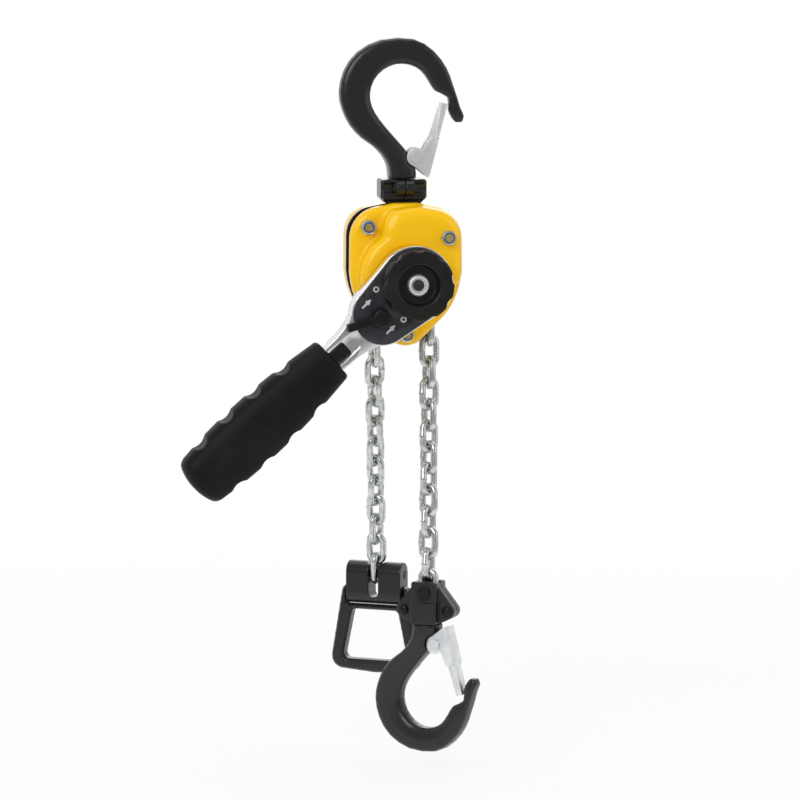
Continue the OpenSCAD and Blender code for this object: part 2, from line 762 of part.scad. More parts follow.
// Flat plate that closes the back of the lever's head
module lever_back_plate() {
    color("silver") on_lever() difference() {
        plate_y(head_back, head_back + lever_t + 0.2) hull() {
            circle(r = head_r - 0.2, $fn = fine);
            translate([selector_reach - 2, 0]) circle(r = lobe_r - 0.2, $fn = fine);
        }
        bar_y(collar_r + 0.4, head_back - 1, head_back + 5);
        bar_y(selector_r - 2.4, head_back - 1, head_back + 5, [selector_reach, 0]);
    }
}

// Black plate over the head, round the collar and the selector
module lever_cover_plate() {
    color("#333333") on_lever() difference() {
        plate_y(head_front, head_front + plate_cap_t) hull() {
            circle(r = head_r - 0.7, $fn = fine);
            translate([selector_reach - 2, 0]) circle(r = lobe_r - 0.7, $fn = fine);
        }
        bar_y(collar_r + 0.4, head_front - 1, head_front + 5);
        for (s = screw_spots) bar_y(screw_r, head_front - 1, head_front + 5, s);
        bar_y(selector_r - 1.6, head_front - 1, head_front + 5, [selector_reach, 0]);
    }
}

// Rivets with hollow heads, through the housing's front
module lever_screws() {
    face = head_front + plate_cap_t;
    color("silver") on_lever() for (s = screw_spots) difference() {
        union() {
            bar_y(screw_r, head_back + lever_t + 0.2, face, s);
            bar_y(screw_r + 0.7, face, face + 0.5, s);
        }
        bar_y(screw_r - 0.2, face, face + 1, s);
    }
}

// ---- Grip ----

grip_near_w = 27.4;

// Half width of the grip at u, swelling from the lever to the far third
function grip_half(u) = let (t = (u - grip_start) / (grip_end - grip_start))
    t < 0.58 ? grip_near_w / 2 + (grip_w - grip_near_w) / 2 * sin(90 * t / 0.58)
             : grip_w / 2 - 3.6 * pow((t - 0.58) / 0.42, 2);

// Distance of ring k's surface from the grip's full section: rounds both ends
grip_rings = concat([for (a = [0, 45, 90]) [grip_start + 1.2 * (1 - sin(a)) , 1.2 * cos(90 - a)]],
                    [for (k = [1:6]) [grip_start + (grip_end - grip_start - 7) * k / 6, 0]],
                    [for (a = [22:17:90]) [grip_end - 7 + 7 * sin(a), 7 * (1 - cos(a))]]);

// Rounded oblong section, half width a in the lever's plane and half thickness b
function section(a, b, n = 32, power = 0.72) = [for (i = [0:n - 1]) let (t = 360 * i / n)
    [a * sign(cos(t)) * pow(abs(cos(t)), power), b * sign(sin(t)) * pow(abs(sin(t)), power)]];

// A closed skin over rings of equal length
module loft(rings) {
    n = len(rings[0]);
    last = len(rings) - 1;
    polyhedron(points = [for (ring = rings, p = ring) p],
        faces = concat([[for (i = [0:n - 1]) i]], [[for (i = [n - 1:-1:0]) last * n + i]],
            [for (k = [0:last - 1], i = [0:n - 1], half = [0, 1]) let (j = (i + 1) % n)
                (half == 0) ? [k * n + i, (k + 1) * n + i, k * n + j]
                            : [k * n + j, (k + 1) * n + i, (k + 1) * n + j]]));
}

module lever_grip() {
    notch_r = 6.3;
    rings = [for (k = [0:len(grip_rings) - 1]) let (u = k < 3 ? grip_start + 0.6 * k : grip_rings[k][0],
                                                    d = k < 3 ? 0.6 * (2 - k) : grip_rings[k][1])
        [for (p = section(grip_half(u) - d, grip_t / 2 * grip_half(u) * 2 / grip_w - d))
            [u, p[1] - head_mid, p[0]]]];
    color("#1c1c1c") on_lever() difference() {
        loft(rings);
        plate_y(tang_back - 6, tang_back)
            translate([grip_start - 5, -neck_half]) square([tang_end - grip_start + 5, 2 * neck_half]);
        plate_y(tang_back - 7, head_front + 1)
            translate([grip_start - 5, -neck_half]) square([neck_end + 13 - grip_start, 2 * neck_half]);
        for (k = [0:grip_notches - 1], side = [-1, 1]) let (u = grip_start + 25 + 21.5 * k)
            bar_y(notch_r, head_mid - grip_t, head_mid + grip_t,
                  [u, side * (grip_half(u) + notch_r - 2.9)], 32);
    }
}

// ---- Selector and lever pawl ----

selector_rest = 206.5 - 180;    // turn of the arm from the lever's own direction, towards +X side
knob_front = head_front + plate_cap_t + 8;
arm_len = 21;
arm_w = 5;

// Knob with its thumb arm and the shaft that reaches the lever's back plate
module selector() {
    color("#1a1a1a") on_lever() translate([selector_reach, 0, 0]) {
        turned_y(concat([[0, head_front + plate_cap_t + 0.2], [selector_r, head_front + plate_cap_t + 0.2]],
                        arc([selector_r - 1, knob_front - 1], 1, 0, 90, 4), [[0, knob_front]]));
        rotate([0, selector_rest, 0]) {
            plate_y(knob_front - 6, knob_front - 1.6) polygon([[0, -0.42 * arm_w], [0, 0.42 * arm_w],
                [arm_len - 1, arm_w / 2], [arm_len, arm_w / 2 - 1], [arm_len, 1 - arm_w / 2],
                [arm_len - 1, -arm_w / 2]]);
            plate_y(knob_front - 2, knob_front - 0.9)
                translate([arm_len - 2, 0.3 - arm_w / 2]) square([1.6, arm_w - 0.6]);
        }
        bar_y(selector_r - 2, head_back + lever_t + 3, head_front + plate_cap_t + 0.2);
        bar_y(selector_r - 2.8, head_back, head_back + lever_t + 3);
    }
}

pawl_spread = 24;
pawl_swing = 12;
// Reach at which a tooth of the pawl, swung in, just clears the change gear's tips
pawl_tip_reach = selector_reach * cos(pawl_spread - pawl_swing)
    - sqrt(pow(drive_gear_r + 0.6, 2) - pow(selector_reach * sin(pawl_spread - pawl_swing), 2));

// Double-ended pawl of the lever, swung to one side as it clicks over the change gear
module lever_pawl() {
    back = drive_gear_y + 2;
    color("lightslategray") on_lever() difference() {
        plate_y(back, back + 6) translate([selector_reach, 0]) rotate(-pawl_swing) {
            circle(r = 5.2);
            for (a = [-pawl_spread, pawl_spread]) rotate(180 + a)
                polygon([[0, -4], [pawl_tip_reach, -0.9], [pawl_tip_reach, 0.9], [0, 4]]);
            polygon([[0, -5], [7.5, -2.5], [6.3, 0], [7.5, 2.5], [0, 5]]);
        }
        bar_y(selector_r - 2 + run, back - 1, back + 7, [selector_reach, 0]);
    }
}

// Spring-loaded plunger that holds the pawl in its notches
module detent() {
    back = drive_gear_y + 5;
    color("silver") on_lever() translate([selector_reach + 8.2, -back, 0]) rotate([0, 90, 0]) {
        cylinder(r = 2, h = 4, $fn = 32);
        translate([0, 0, 4]) cylinder(r = 1.4, h = 3.5, $fn = 32);
    }
}

// ---- Hooks and latches ----

// Stations along a hook from its shank to its tip: inner point, outer point (X and Z from the bowl's
// centre) and thickness across the hook
hook_stations = [
    [[8.2, -48], [-8.2, -48], 1.48], [[7.6, -41], [-8.9, -41], 1.46],
    [[3.4, -33], [-12.4, -34.4], 1.36], [[-2.5, -26], [-18, -28.8], 1.24],
    [[-7.9, -19.9], [-24.5, -24.2], 1.16], [[-13.5, -13], [-31, -17], 1.1],
    [[-17.6, -6], [-35.6, -7.5], 1.06], [[-18.8, 1.5], [-37.3, 2.6], 1.04],
    [[-16.5, 9.2], [-34.5, 14.8], 1.04], [[-11, 15.2], [-26.5, 25.8], 1.04],
    [[-3.5, 18.4], [-12, 33.2], 1.04], [[4.4, 18], [6.5, 33.6], 1.04],
    [[11, 14.6], [18.6, 26.6], 1], [[15.6, 8.6], [26.4, 16.4], 0.96],
    [[19.4, 2.8], [30, 7.2], 0.9], [[27.2, -1.2], [32.6, -0.8], 0.82],
    [[27.4, -8.5], [34.6, -7], 0.76], [[29.4, -13], [36.8, -12], 0.7],
    [[31.8, -15.8], [35.6, -15.6], 0.5]];
hook_half = hook_t / 2;

// Catmull-Rom value between b and c at t
function between(a, b, c, d, t) =
    b + 0.5 * t * (c - a + t * (2 * a - 5 * b + 4 * c - d + t * (3 * (b - c) + d - a)));

// Ring k of the hook's skin: an oval with a flatter outer side
function hook_ring(inner, outer, half, n = 16) =
    let (mid = (inner + outer) / 2, reach = (inner - outer) / 2)
    [for (p = section(1, half, n, 0.56)) let (q = mid + reach * p[0])
        [q[0], p[1] * (1 - 0.12 * p[0]), q[1]]];

module hook_body(size) {
    last = len(hook_stations) - 1;
    rows = [for (k = [0:last - 1], t = [0, 0.5]) let (s = hook_stations, p = max(k - 1, 0),
            n = k + 1, m = min(k + 2, last))
        [for (c = [0:2]) between(s[p][c], s[k][c], s[n][c], s[m][c], t)]];
    loft([for (r = concat(rows, [hook_stations[last]]))
        hook_ring(r[0] * size, r[1] * size, hook_half * r[2])]);
}

latch_pin_r = 1.6;
latch_pivot = [7.6, -35.6];
collar_h = 4;
ear_half = 3.6;       // half thickness of the ear that carries the latch
collar_drop = 5;    // from the shank's foot to the collar that the yoke holds

// A forged hook, bowl centre at the origin, shank down, with its neck, collar and latch ear
module hook(size) {
    foot = -48 * size;
    difference() {
        union() {
            hook_body(size);
            bar_y(4.6, -ear_half, ear_half, latch_pivot * size);
            translate([0, 0, foot - collar_drop]) cylinder(r = neck_r, h = collar_drop + 2, $fn = fine);
            translate([0, 0, foot - collar_drop - collar_h])
                cylinder(r = neck_r + 1.8, h = collar_h, $fn = fine);
        }
        bar_y(latch_pin_r, -5, 5, latch_pivot * size);
        for (side = [-1, 1])
            bar_y(6.2, side > 0 ? ear_half : -ear_half - 9, side > 0 ? ear_half + 9 : -ear_half,
                  latch_pivot * size);
    }
}

latch_in = ear_half + gap;
latch_out = latch_in + latch_t;

// Bent sheet latch: two ears on the pin and a web that closes the hook's mouth
module latch(size) {
    tip = 34.6 * size;
    latch_back = 10.6 * size;
    latch_foot = 9.6 * size;
    blade = 3.2;    // half width of the narrow channel that reaches the hook's tip
    translate([latch_pivot[0] * size, 0, latch_pivot[1] * size]) rotate([0, 15, 0]) difference() {
        union() {
            for (y = [-latch_out, latch_in]) plate_y(y, y + latch_t) {
                circle(r = 5.4);
                polygon([[-4.6, -2.8], [0, -5.4], [latch_back - 1, -latch_foot], [latch_back, -latch_foot],
                         [latch_back, 13], [latch_back - 1, 14], [latch_back - 5.2, 14], [3, 4.6]]);
            }
            for (y = [-blade, blade - latch_t]) plate_y(y, y + latch_t)
                polygon([[latch_back - 5.2, 12], [latch_back, 12], [latch_back, tip],
                         [latch_back - 4, tip]]);
            translate([latch_back - latch_t, 0, 0]) rotate([90, 0, 90]) linear_extrude(latch_t)
                polygon([[-latch_out, -latch_foot], [latch_out, -latch_foot], [latch_out, 13],
                         [blade, 15], [blade, tip], [-blade, tip], [-blade, 15], [-latch_out, 13]]);
        }
        bar_y(latch_pin_r + run, -latch_out - 1, latch_out + 1);
    }
}

module latch_pin(size) {
    at = latch_pivot * size;
    bar_y(latch_pin_r, -latch_out - 0.2, latch_out + 0.2, at);
    for (side = [-1, 1])
        bar_y(latch_pin_r + 1.8, side > 0 ? latch_out + 0.2 : -latch_out - 1.2,
              side > 0 ? latch_out + 1.2 : -latch_out - 0.2, at);
}

// Leg of the latch's spring, from the ear to the latch's web
module latch_spring(size) {
    at = latch_pivot * size;
    translate([at[0], 0, at[1]]) rotate([0, 105, 0]) translate([0, 0, 4.62])
        cylinder(r = 0.5, h = 10.6 * size - latch_t - 4.62 - gap, $fn = 16);
}

module top_hook() { color("#262626") hook(1); }
module top_latch() { color("silver") latch(1); }
module top_latch_pin() { color("lightgray") latch_pin(1); }
module top_latch_spring() { color("lightgray") latch_spring(1); }

// ---- Top yoke: two halves round the hook's collar and the top pin ----

half_gap = 0.1;
ear_t = 5.1;
ear_r = 4.4;
yoke_step = axis_z + body_top + 1.4;    // wide part stays above the covers
pin_z = axis_z + top_pin_z;

// Bores for the neck and collar of a hook whose shank ends at foot
module yoke_bores(foot) {
    translate([0, 0, foot - collar_drop - 1]) cylinder(r = neck_r + run, h = collar_drop + 3, $fn = fine);
    translate([0, 0, foot - collar_drop - collar_h - 0.15])
        cylinder(r = neck_r + 1.8 + run, h = collar_h + 0.3, $fn = fine);
}

module top_yoke_half() {
    w = yoke_w / 2;
    difference() {
        union() {
            plate_y(gap + 0.1 - plate_in, plate_in - gap - 0.1) polygon([
                [half_gap, yoke_top], [w - 1, yoke_top], [w, yoke_top - 1], [w, yoke_top - 10.5],
                [w - 3.6, yoke_top - 14], [7, yoke_top - 15], [6.4, pin_z - 3.4], [3.8, pin_z - 6.4],
                [half_gap, pin_z - 6.6]]);
            translate([half_gap, -9, yoke_step]) cube([w - 1.2 - half_gap, 18, yoke_top - yoke_step]);
            translate([half_gap, 0, 0]) rotate([90, 0, 90]) linear_extrude(ear_t) {
                translate([-top_rivet_span / 2, yoke_top - 2 * ear_r - 0.2])
                    square([top_rivet_span, 2 * ear_r - 0.6]);
                for (y = [-1, 1])
                    translate([y * top_rivet_span / 2, yoke_top - ear_r - 0.4]) circle(r = ear_r);
            }
        }
        yoke_bores(yoke_top + 0.4);
        bar_y(top_pin_r + run, -20, 20, [0, pin_z]);
        for (y = [-1, 1]) translate([-1, y * top_rivet_span / 2, yoke_top - ear_r - 0.4]) rotate([0, 90, 0]) {
            cylinder(r = 2, h = ear_t + 3, $fn = 32);
            translate([0, 0, ear_t + half_gap + 1]) cylinder(r = 3.5, h = w, $fn = 32);
        }
    }
}
module top_yoke_right() { color("#262626") top_yoke_half(); }
module top_yoke_left() { color("#262626") mirror([1, 0, 0]) top_yoke_half(); }

// A rivet of length 2 * half along X with domed heads
module rivet(half) {
    rotate([0, 90, 0]) {
        cylinder(r = 2, h = 2 * half, center = true, $fn = 32);
        for (side = [0, 180]) rotate([side, 0, 0]) translate([0, 0, half])
            rotate_extrude($fn = 32)
                polygon(concat([[0, 0]], [for (a = [0:15:90]) [3.2 * cos(a), 1.9 * sin(a)]]));
    }
}

module top_yoke_rivets() {
    color("#303030") for (y = [-1, 1]) translate([0, y * top_rivet_span / 2, yoke_top - ear_r - 0.4])
        rivet(ear_t + half_gap);
}

// ---- Bottom block on the load chain ----

module on_load_end() { strand_end(sheave_vertex, -load_lean) children(); }

block_top = 6.8;
last_link_up = strand_foot - chain_pitch * (strand_links - 0.5);

// Room for the round foot of the last link but one, w to each side of its plane
module next_link_relief(w) {
    translate([0, 0, last_link_up + chain_pitch - link_straight]) rotate([0, 90, 0])
        cylinder(r = link_outer / 2 + 1.2, h = 2 * w, center = true, $fn = fine);
}

block_foot = block_top - yoke_h;
block_half = 8.1;
block_depth = 9;
block_face = block_depth - 1.6;    // the upper part of each face lies deeper
rivet_z = -10.3;
lobe = 4.6;

module bottom_block_half() {
    difference() {
        union() {
            plate_y(half_gap, block_depth) polygon([[-block_half, block_top - 1], [1 - block_half, block_top],
                [block_half - 1, block_top], [block_half, block_top - 1], [block_half, block_foot + 1],
                [block_half - 1, block_foot], [1 - block_half, block_foot], [-block_half, block_foot + 1]]);
            plate_y(half_gap, ear_t) hull() {
                for (side = [-1, 1]) {
                    translate([side * rivet_span / 2, rivet_z]) circle(r = lobe);
                    translate([side * (block_half - 1), block_top - 3]) circle(r = 1);
                    translate([side * (block_half + 1.4), block_foot + 2.5]) circle(r = 1.5);
                }
            }
        }
        plate_y(block_face, block_depth + 1)
            translate([-block_half - 1, -5.6]) square([2 * block_half + 2, block_top + 10]);
        translate([-link_outer / 2 - 0.9, -chain_wire / 2 - 1.2, -7.2])
            cube([link_outer + 1.8, chain_wire + 2.4, block_top + 10]);
        bar_y(end_pin_d / 2, -1, block_depth + 1);
        mirror([0, 0, 1]) yoke_bores(0.4 - block_foot);
        next_link_relief(chain_wire / 2 + 1.6);
        for (side = [-1, 1]) bar_y(2, -1, ear_t + 1, [side * rivet_span / 2, rivet_z], 32);
    }
}
module bottom_block_front() { color("#262626") on_load_end() bottom_block_half(); }
module bottom_block_back() { color("#262626") on_load_end() rotate([0, 0, 180]) bottom_block_half(); }

module bottom_block_rivets() {
    color("#303030") on_load_end() for (side = [-1, 1])
        translate([side * rivet_span / 2, 0, rivet_z]) rotate([0, 0, 90]) rivet(ear_t);
}

module load_chain_pin() {
    color("#303030") on_load_end() {
        bar_y(end_pin_d / 2, -block_face, block_face);
        for (y = [-block_face - 1, block_face]) bar_y(4.1, y, y + 1);
    }
}

// Puts the bottom hook's parts under the bottom block, bowl down and mouth to block +X
module on_bottom_hook() {
    on_load_end() translate([0, 0, block_foot - 0.4 - 48 * bottom_hook_scale])
        rotate([0, 0, bottom_hook_turn]) mirror([0, 0, 1]) children();
}
module bottom_hook() { color("#262626") on_bottom_hook() hook(bottom_hook_scale); }
module bottom_latch() { color("silver") on_bottom_hook() latch(bottom_hook_scale); }
module bottom_latch_pin() { color("lightgray") on_bottom_hook() latch_pin(bottom_hook_scale); }
module bottom_latch_spring() { color("lightgray") on_bottom_hook() latch_spring(bottom_hook_scale); }

// ---- Stopper block and handle on the slack chain ----

module on_slack_end() { strand_end(-sheave_vertex, slack_lean) children(); }

stopper_top = 7.5;
stopper_foot = stopper_top - stopper_h;
handle_pin_z = stopper_foot + stopper_d / 2;
handle_pin_r = 2;
slot_w = chain_wire + 2.2;
slot_depth = 21.4;

stub_in = slot_w / 2 + 1.6;    // the handle's two stub pins end beside the slot

// One stub pin of the handle, from in to out along X
module stub_pin(side, r, in, out) {
    translate([side * (in + out) / 2, 0, handle_pin_z]) rotate([0, 90, 0])
        cylinder(r = r, h = out - in, center = true, $fn = fine);
}

module stopper_block() {
    half = stopper_d / 2;
    color("#262626") on_slack_end() difference() {
        rotate([90, 0, 90]) linear_extrude(stopper_w, center = true) polygon(concat(
            arc([0, stopper_top - half], half, 0, 180, 16),
            arc([0, handle_pin_z], half, 180, 360, 16)));
        plate_y(-half - 1, half + 1) {
            translate([-slot_w / 2, stopper_top - slot_depth + slot_w / 2]) square([slot_w, 30]);
            translate([0, stopper_top - slot_depth + slot_w / 2]) circle(d = slot_w);
        }
        rotate([0, 90, 0]) cylinder(d = end_pin_d, h = stopper_w + 2, center = true, $fn = fine);
        rotate([0, 0, 90]) next_link_relief(chain_wire / 2 + 2.8);
        for (side = [-1, 1]) stub_pin(side, handle_pin_r + run, stub_in - 0.2, stopper_w / 2 + 1);
    }
}

module stopper_chain_pin() {
    color("#303030") on_slack_end() rotate([0, 90, 0])
        cylinder(d = end_pin_d, h = stopper_w - 0.6, center = true, $fn = fine);
}

handle_t = 9;
// The block's under side clears this when the handle swings
handle_clear = handle_pin_z - stopper_d / 2 - 0.4;
handle_foot = handle_pin_z + 5 - handle_h;

// Outline of the handle frame, drawn in by d at every edge
module handle_outline(d) {
    head = stopper_w / 2 + 0.4;
    lug = handle_head_w / 2;
    foot = handle_foot_w / 2;
    difference() {
        hull() {
            for (side = [-1, 1]) {
                translate([side * (lug - 5), handle_pin_z]) circle(r = 5 - d);
                translate([side * (foot - 7.5), handle_foot + 9]) circle(r = 7.5 - d);
            }
            translate([0, handle_foot + 10]) circle(r = 10 - d);
        }
        translate([-head - d, handle_clear - d]) square([2 * (head + d), 30]);
        hull() for (side = [-1, 1]) {
            translate([side * (lug - 9), handle_clear - 6]) circle(r = 2.8 + d);
            translate([side * (foot - handle_bar - 3.8), handle_foot + handle_bar + 3.6])
                circle(r = 3.5 + d);
        }
    }
}

module stopper_handle() {
    color("#262626") on_slack_end() difference() {
        union() {
            plate_y(1.2 - handle_t / 2, handle_t / 2 - 1.2) handle_outline(0);
            plate_y(-handle_t / 2, handle_t / 2) handle_outline(1);
        }
        for (side = [-1, 1]) stub_pin(side, handle_pin_r, stopper_w / 2 - 1, handle_head_w / 2 + 1);
    }
}

module handle_pin() {
    color("#303030") on_slack_end()
        for (side = [-1, 1]) stub_pin(side, handle_pin_r, stub_in, handle_head_w / 2 - 0.5);
}

top_hook();
top_latch();
top_latch_pin();
top_latch_spring();
top_yoke_left();
top_yoke_right();
top_yoke_rivets();
top_pin();
front_side_plate();
rear_side_plate();
brake_cover();
gear_cover();
stay_bolts();
stay_nuts();
stay_spacers();
chain_guide();
sheave_bushes();
shaft_bushes();
pawl_pins();
ratchet_disc();
brake_pawl_right();
brake_pawl_left();
load_sheave();
load_gear();
lay_gear_right();
lay_gear_left();
sheave_links();
pinion_shaft();
friction_hub();
friction_discs();
change_gear();
handwheel();
wheel_washer();
wheel_nut();
lever();
lever_back_plate();
lever_cover_plate();
lever_screws();
lever_grip();
selector();
lever_pawl();
detent();
load_chain();
slack_chain();
load_chain_pin();
bottom_block_front();
bottom_block_back();
bottom_block_rivets();
bottom_hook();
bottom_latch();
bottom_latch_pin();
bottom_latch_spring();
stopper_block();
stopper_chain_pin();
stopper_handle();
handle_pin();
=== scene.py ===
"""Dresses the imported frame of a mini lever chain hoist: its finishes, rounded skins, chain and studio."""

import logging
import math
from collections.abc import Callable
from dataclasses import dataclass, field
from enum import Enum

import bmesh
import bpy
from mathutils import Matrix, Vector

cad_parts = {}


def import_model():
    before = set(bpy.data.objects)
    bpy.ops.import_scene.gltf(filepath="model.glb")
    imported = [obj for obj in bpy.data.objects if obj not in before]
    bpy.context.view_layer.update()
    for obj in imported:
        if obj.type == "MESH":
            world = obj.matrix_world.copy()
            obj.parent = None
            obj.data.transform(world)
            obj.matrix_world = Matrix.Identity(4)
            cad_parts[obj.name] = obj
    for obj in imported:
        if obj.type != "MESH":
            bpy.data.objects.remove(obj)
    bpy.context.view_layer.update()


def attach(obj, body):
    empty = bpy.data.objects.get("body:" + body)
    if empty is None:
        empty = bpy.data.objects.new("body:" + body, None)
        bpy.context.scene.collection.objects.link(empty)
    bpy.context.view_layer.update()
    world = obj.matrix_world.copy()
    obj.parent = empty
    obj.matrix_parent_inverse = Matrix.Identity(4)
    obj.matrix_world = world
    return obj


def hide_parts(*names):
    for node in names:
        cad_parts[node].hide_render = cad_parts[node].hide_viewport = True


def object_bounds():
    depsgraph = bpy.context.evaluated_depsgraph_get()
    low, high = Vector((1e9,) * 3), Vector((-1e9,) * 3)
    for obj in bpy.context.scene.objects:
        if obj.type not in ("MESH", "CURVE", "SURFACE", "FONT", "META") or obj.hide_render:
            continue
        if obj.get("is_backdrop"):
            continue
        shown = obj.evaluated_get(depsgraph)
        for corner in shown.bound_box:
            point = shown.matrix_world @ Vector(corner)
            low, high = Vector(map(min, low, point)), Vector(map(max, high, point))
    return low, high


LOG = logging.getLogger("hoist")
MM = 0.001                                            # the frame is in metres
AXIS = Vector((0.0, 0.0, -106.0))                     # the drive's axis, along Y, in mm
STAYS = ((-23.0, 31.0), (22.6, 25.0), (-0.5, -32.5))   # X and Z of the stay bolts from the axis, in mm


# ---------------------------------------------------------------- shader values


class Value:
    """A shader socket that Python's operators turn into Math nodes."""

    def __init__(self, bench: "Bench", socket: bpy.types.NodeSocket) -> None:
        """Keeps the socket and the bench that adds nodes.

        Args:
            bench: the material that the nodes go in.
            socket: the output this value comes from.
        """
        self.bench = bench
        self.socket = socket

    def maths(self, operation: str, *others: "Value | float") -> "Value":
        """Adds a Math node on this value.

        Args:
            operation: the node's operation.
            others: its other inputs.

        Returns:
            The node's result.
        """
        return self.bench.node("Math", {"operation": operation}, self, *others)

    def __add__(self, other: "Value | float") -> "Value":
        """Sum of this value and another."""
        return self.maths("ADD", other)

    def __mul__(self, other: "Value | float") -> "Value":
        """Product of this value and another."""
        return self.maths("MULTIPLY", other)

    __radd__ = __add__
    __rmul__ = __mul__

    def rise(self, low: float, high: float) -> "Value":
        """Runs smoothly from 0 to 1 as this value goes from low to high.

        Args:
            low: where the result is 0.
            high: where the result is 1.

        Returns:
            The smoothed step.
        """
        return self.bench.node("MapRange", {"interpolation_type": "SMOOTHSTEP"}, self, low, high, 0.0, 1.0)


class Bench:
    """A material under construction."""

    def __init__(self, name: str) -> None:
        """Starts an empty node material.

        Args:
            name: the material's name.
        """
        self.material = bpy.data.materials.new(name)
        self.material.use_nodes = True
        self.tree = self.material.node_tree
        self.tree.nodes.clear()
        self.object = self.node("TexCoord", {}, output="Object")

    def node(self, kind: str, settings: dict[str, object], *values: object,
             output: str | int = 0, **named: object) -> Value:
        """Adds one shader node.

        Args:
            kind: the node's type, without its ShaderNode prefix.
            settings: attributes that are set before the sockets.
            values: inputs in the order of the sockets.
            output: the socket that is returned.
            named: inputs by name, with _ for a space.

        Returns:
            The chosen output.
        """
        made = self.tree.nodes.new("ShaderNode" + kind)
        for key, value in settings.items():
            setattr(made, key, value)
        by_name = ((key.replace("_", " "), value) for key, value in named.items())
        for key, value in [*enumerate(values), *by_name]:
            if isinstance(value, Value):
                self.tree.links.new(value.socket, made.inputs[key])
            elif value is not None:
                made.inputs[key].default_value = value
        return Value(self, made.outputs[output])

    def noise(self, size: float, detail: float = 3.0,
              stretch: tuple[float, float, float] = (1.0, 1.0, 1.0)) -> Value:
        """Fine noise on the object's own coordinates.

        Args:
            size: size of a speck in mm.
            detail: octaves.
            stretch: scale on each axis.

        Returns:
            Noise between 0 and 1.
        """
        at = self.node("Mapping", {}, self.object, Scale=stretch)
        return self.node("TexNoise", {}, Vector=at, Scale=1 / (size * MM), Detail=detail, Roughness=0.55)

    def tint(self, mask: Value | float, base: "Value | tuple", other: "Value | tuple") -> Value:
        """Mixes two colours by a mask.

        Args:
            mask: share of the other colour.
            base: colour where the mask is 0.
            other: colour where the mask is 1.

        Returns:
            The mixed colour.
        """
        pair = [c if isinstance(c, Value) else (*c, 1.0) for c in (base, other)]
        made = self.tree.nodes.new("ShaderNodeMix")
        made.data_type = "RGBA"
        for socket, value in zip((made.inputs[0], made.inputs[6], made.inputs[7]), (mask, *pair)):
            if isinstance(value, Value):
                self.tree.links.new(value.socket, socket)
            else:
                socket.default_value = value
        return Value(self, made.outputs[2])

    def bump(self, height: Value, strength: float, distance: float) -> Value:
        """Turns a height between 0 and 1 into a normal; distance is in mm."""
        return self.node("Bump", {}, Strength=strength, Distance=distance * MM, Height=height,
                         output="Normal")

    def finish(self, **sockets: object) -> bpy.types.Material:
        """Ends the material with a Principled shader.

        Args:
            sockets: its inputs by name, with _ for a space.

        Returns:
            The material.
        """
        for key in ("Base_Color", "Sheen_Tint", "Specular_Tint"):
            if isinstance(sockets.get(key), tuple):
                sockets[key] = (*sockets[key], 1.0)
        shader = self.node("BsdfPrincipled", {}, **sockets)
        out = self.tree.nodes.new("ShaderNodeOutputMaterial")
        self.tree.links.new(shader.socket, out.inputs["Surface"])
        return self.material


# ---------------------------------------------------------------- finishes


@dataclass(frozen=True)
class Coated:
    """Powder coat, enamel or moulding over a body, with fine skin and rubbed patches."""

    colour: tuple[float, float, float]
    rubbed: tuple[float, float, float]
    roughness: float = 0.4
    spread: float = 0.12
    skin: float = 1.2
    skin_depth: float = 0.05
    coat: float = 0.0
    patches: float = 14.0
    gloss: float = 0.35
    glaze: float = 0.08

    def make(self, name: str) -> bpy.types.Material:
        """Builds the coat's material.

        Args:
            name: the material's name.

        Returns:
            The material.
        """
        bench = Bench(name)
        patch = bench.noise(self.patches, 4).rise(0.35, 0.75)
        skin = bench.noise(self.skin, 4)
        speck = bench.noise(self.skin * 0.4, 2).rise(0.62, 0.8)
        colour = bench.tint(patch * 0.7 + speck * 0.2, self.colour, self.rubbed)
        rough = patch * self.spread + (self.roughness - self.spread / 2) + skin * 0.06
        return bench.finish(Base_Color=colour, Roughness=rough, Metallic=0.0, Coat_Weight=self.coat,
                            Coat_Roughness=self.glaze, Specular_IOR_Level=self.gloss,
                            Normal=bench.bump(skin, 0.35, self.skin_depth))


@dataclass(frozen=True)
class Forged:
    """Black coat over a forging: orange skin, soft dimples and edges rubbed to a grey sheen."""

    colour: tuple[float, float, float] = (0.0085, 0.0088, 0.0082)
    edge: tuple[float, float, float] = (0.035, 0.037, 0.04)
    roughness: float = 0.4

    def make(self, name: str) -> bpy.types.Material:
        """Builds the forging's material.

        Args:
            name: the material's name.

        Returns:
            The material.
        """
        bench = Bench(name)
        ridge = bench.node("NewGeometry", {}, output="Pointiness").rise(0.52, 0.6)
        dimple = bench.noise(5.5, 3)
        skin = bench.noise(0.9, 4)
        colour = bench.tint(ridge * skin, self.colour, self.edge)
        rough = dimple * 0.2 + skin * 0.08 + (self.roughness - 0.12)
        normal = bench.bump(dimple * 0.75 + skin * 0.25, 0.35, 0.2)
        return bench.finish(Base_Color=colour, Roughness=rough, Metallic=0.0, Coat_Weight=0.6,
                            Coat_Roughness=0.22, Specular_IOR_Level=0.2, Normal=normal)


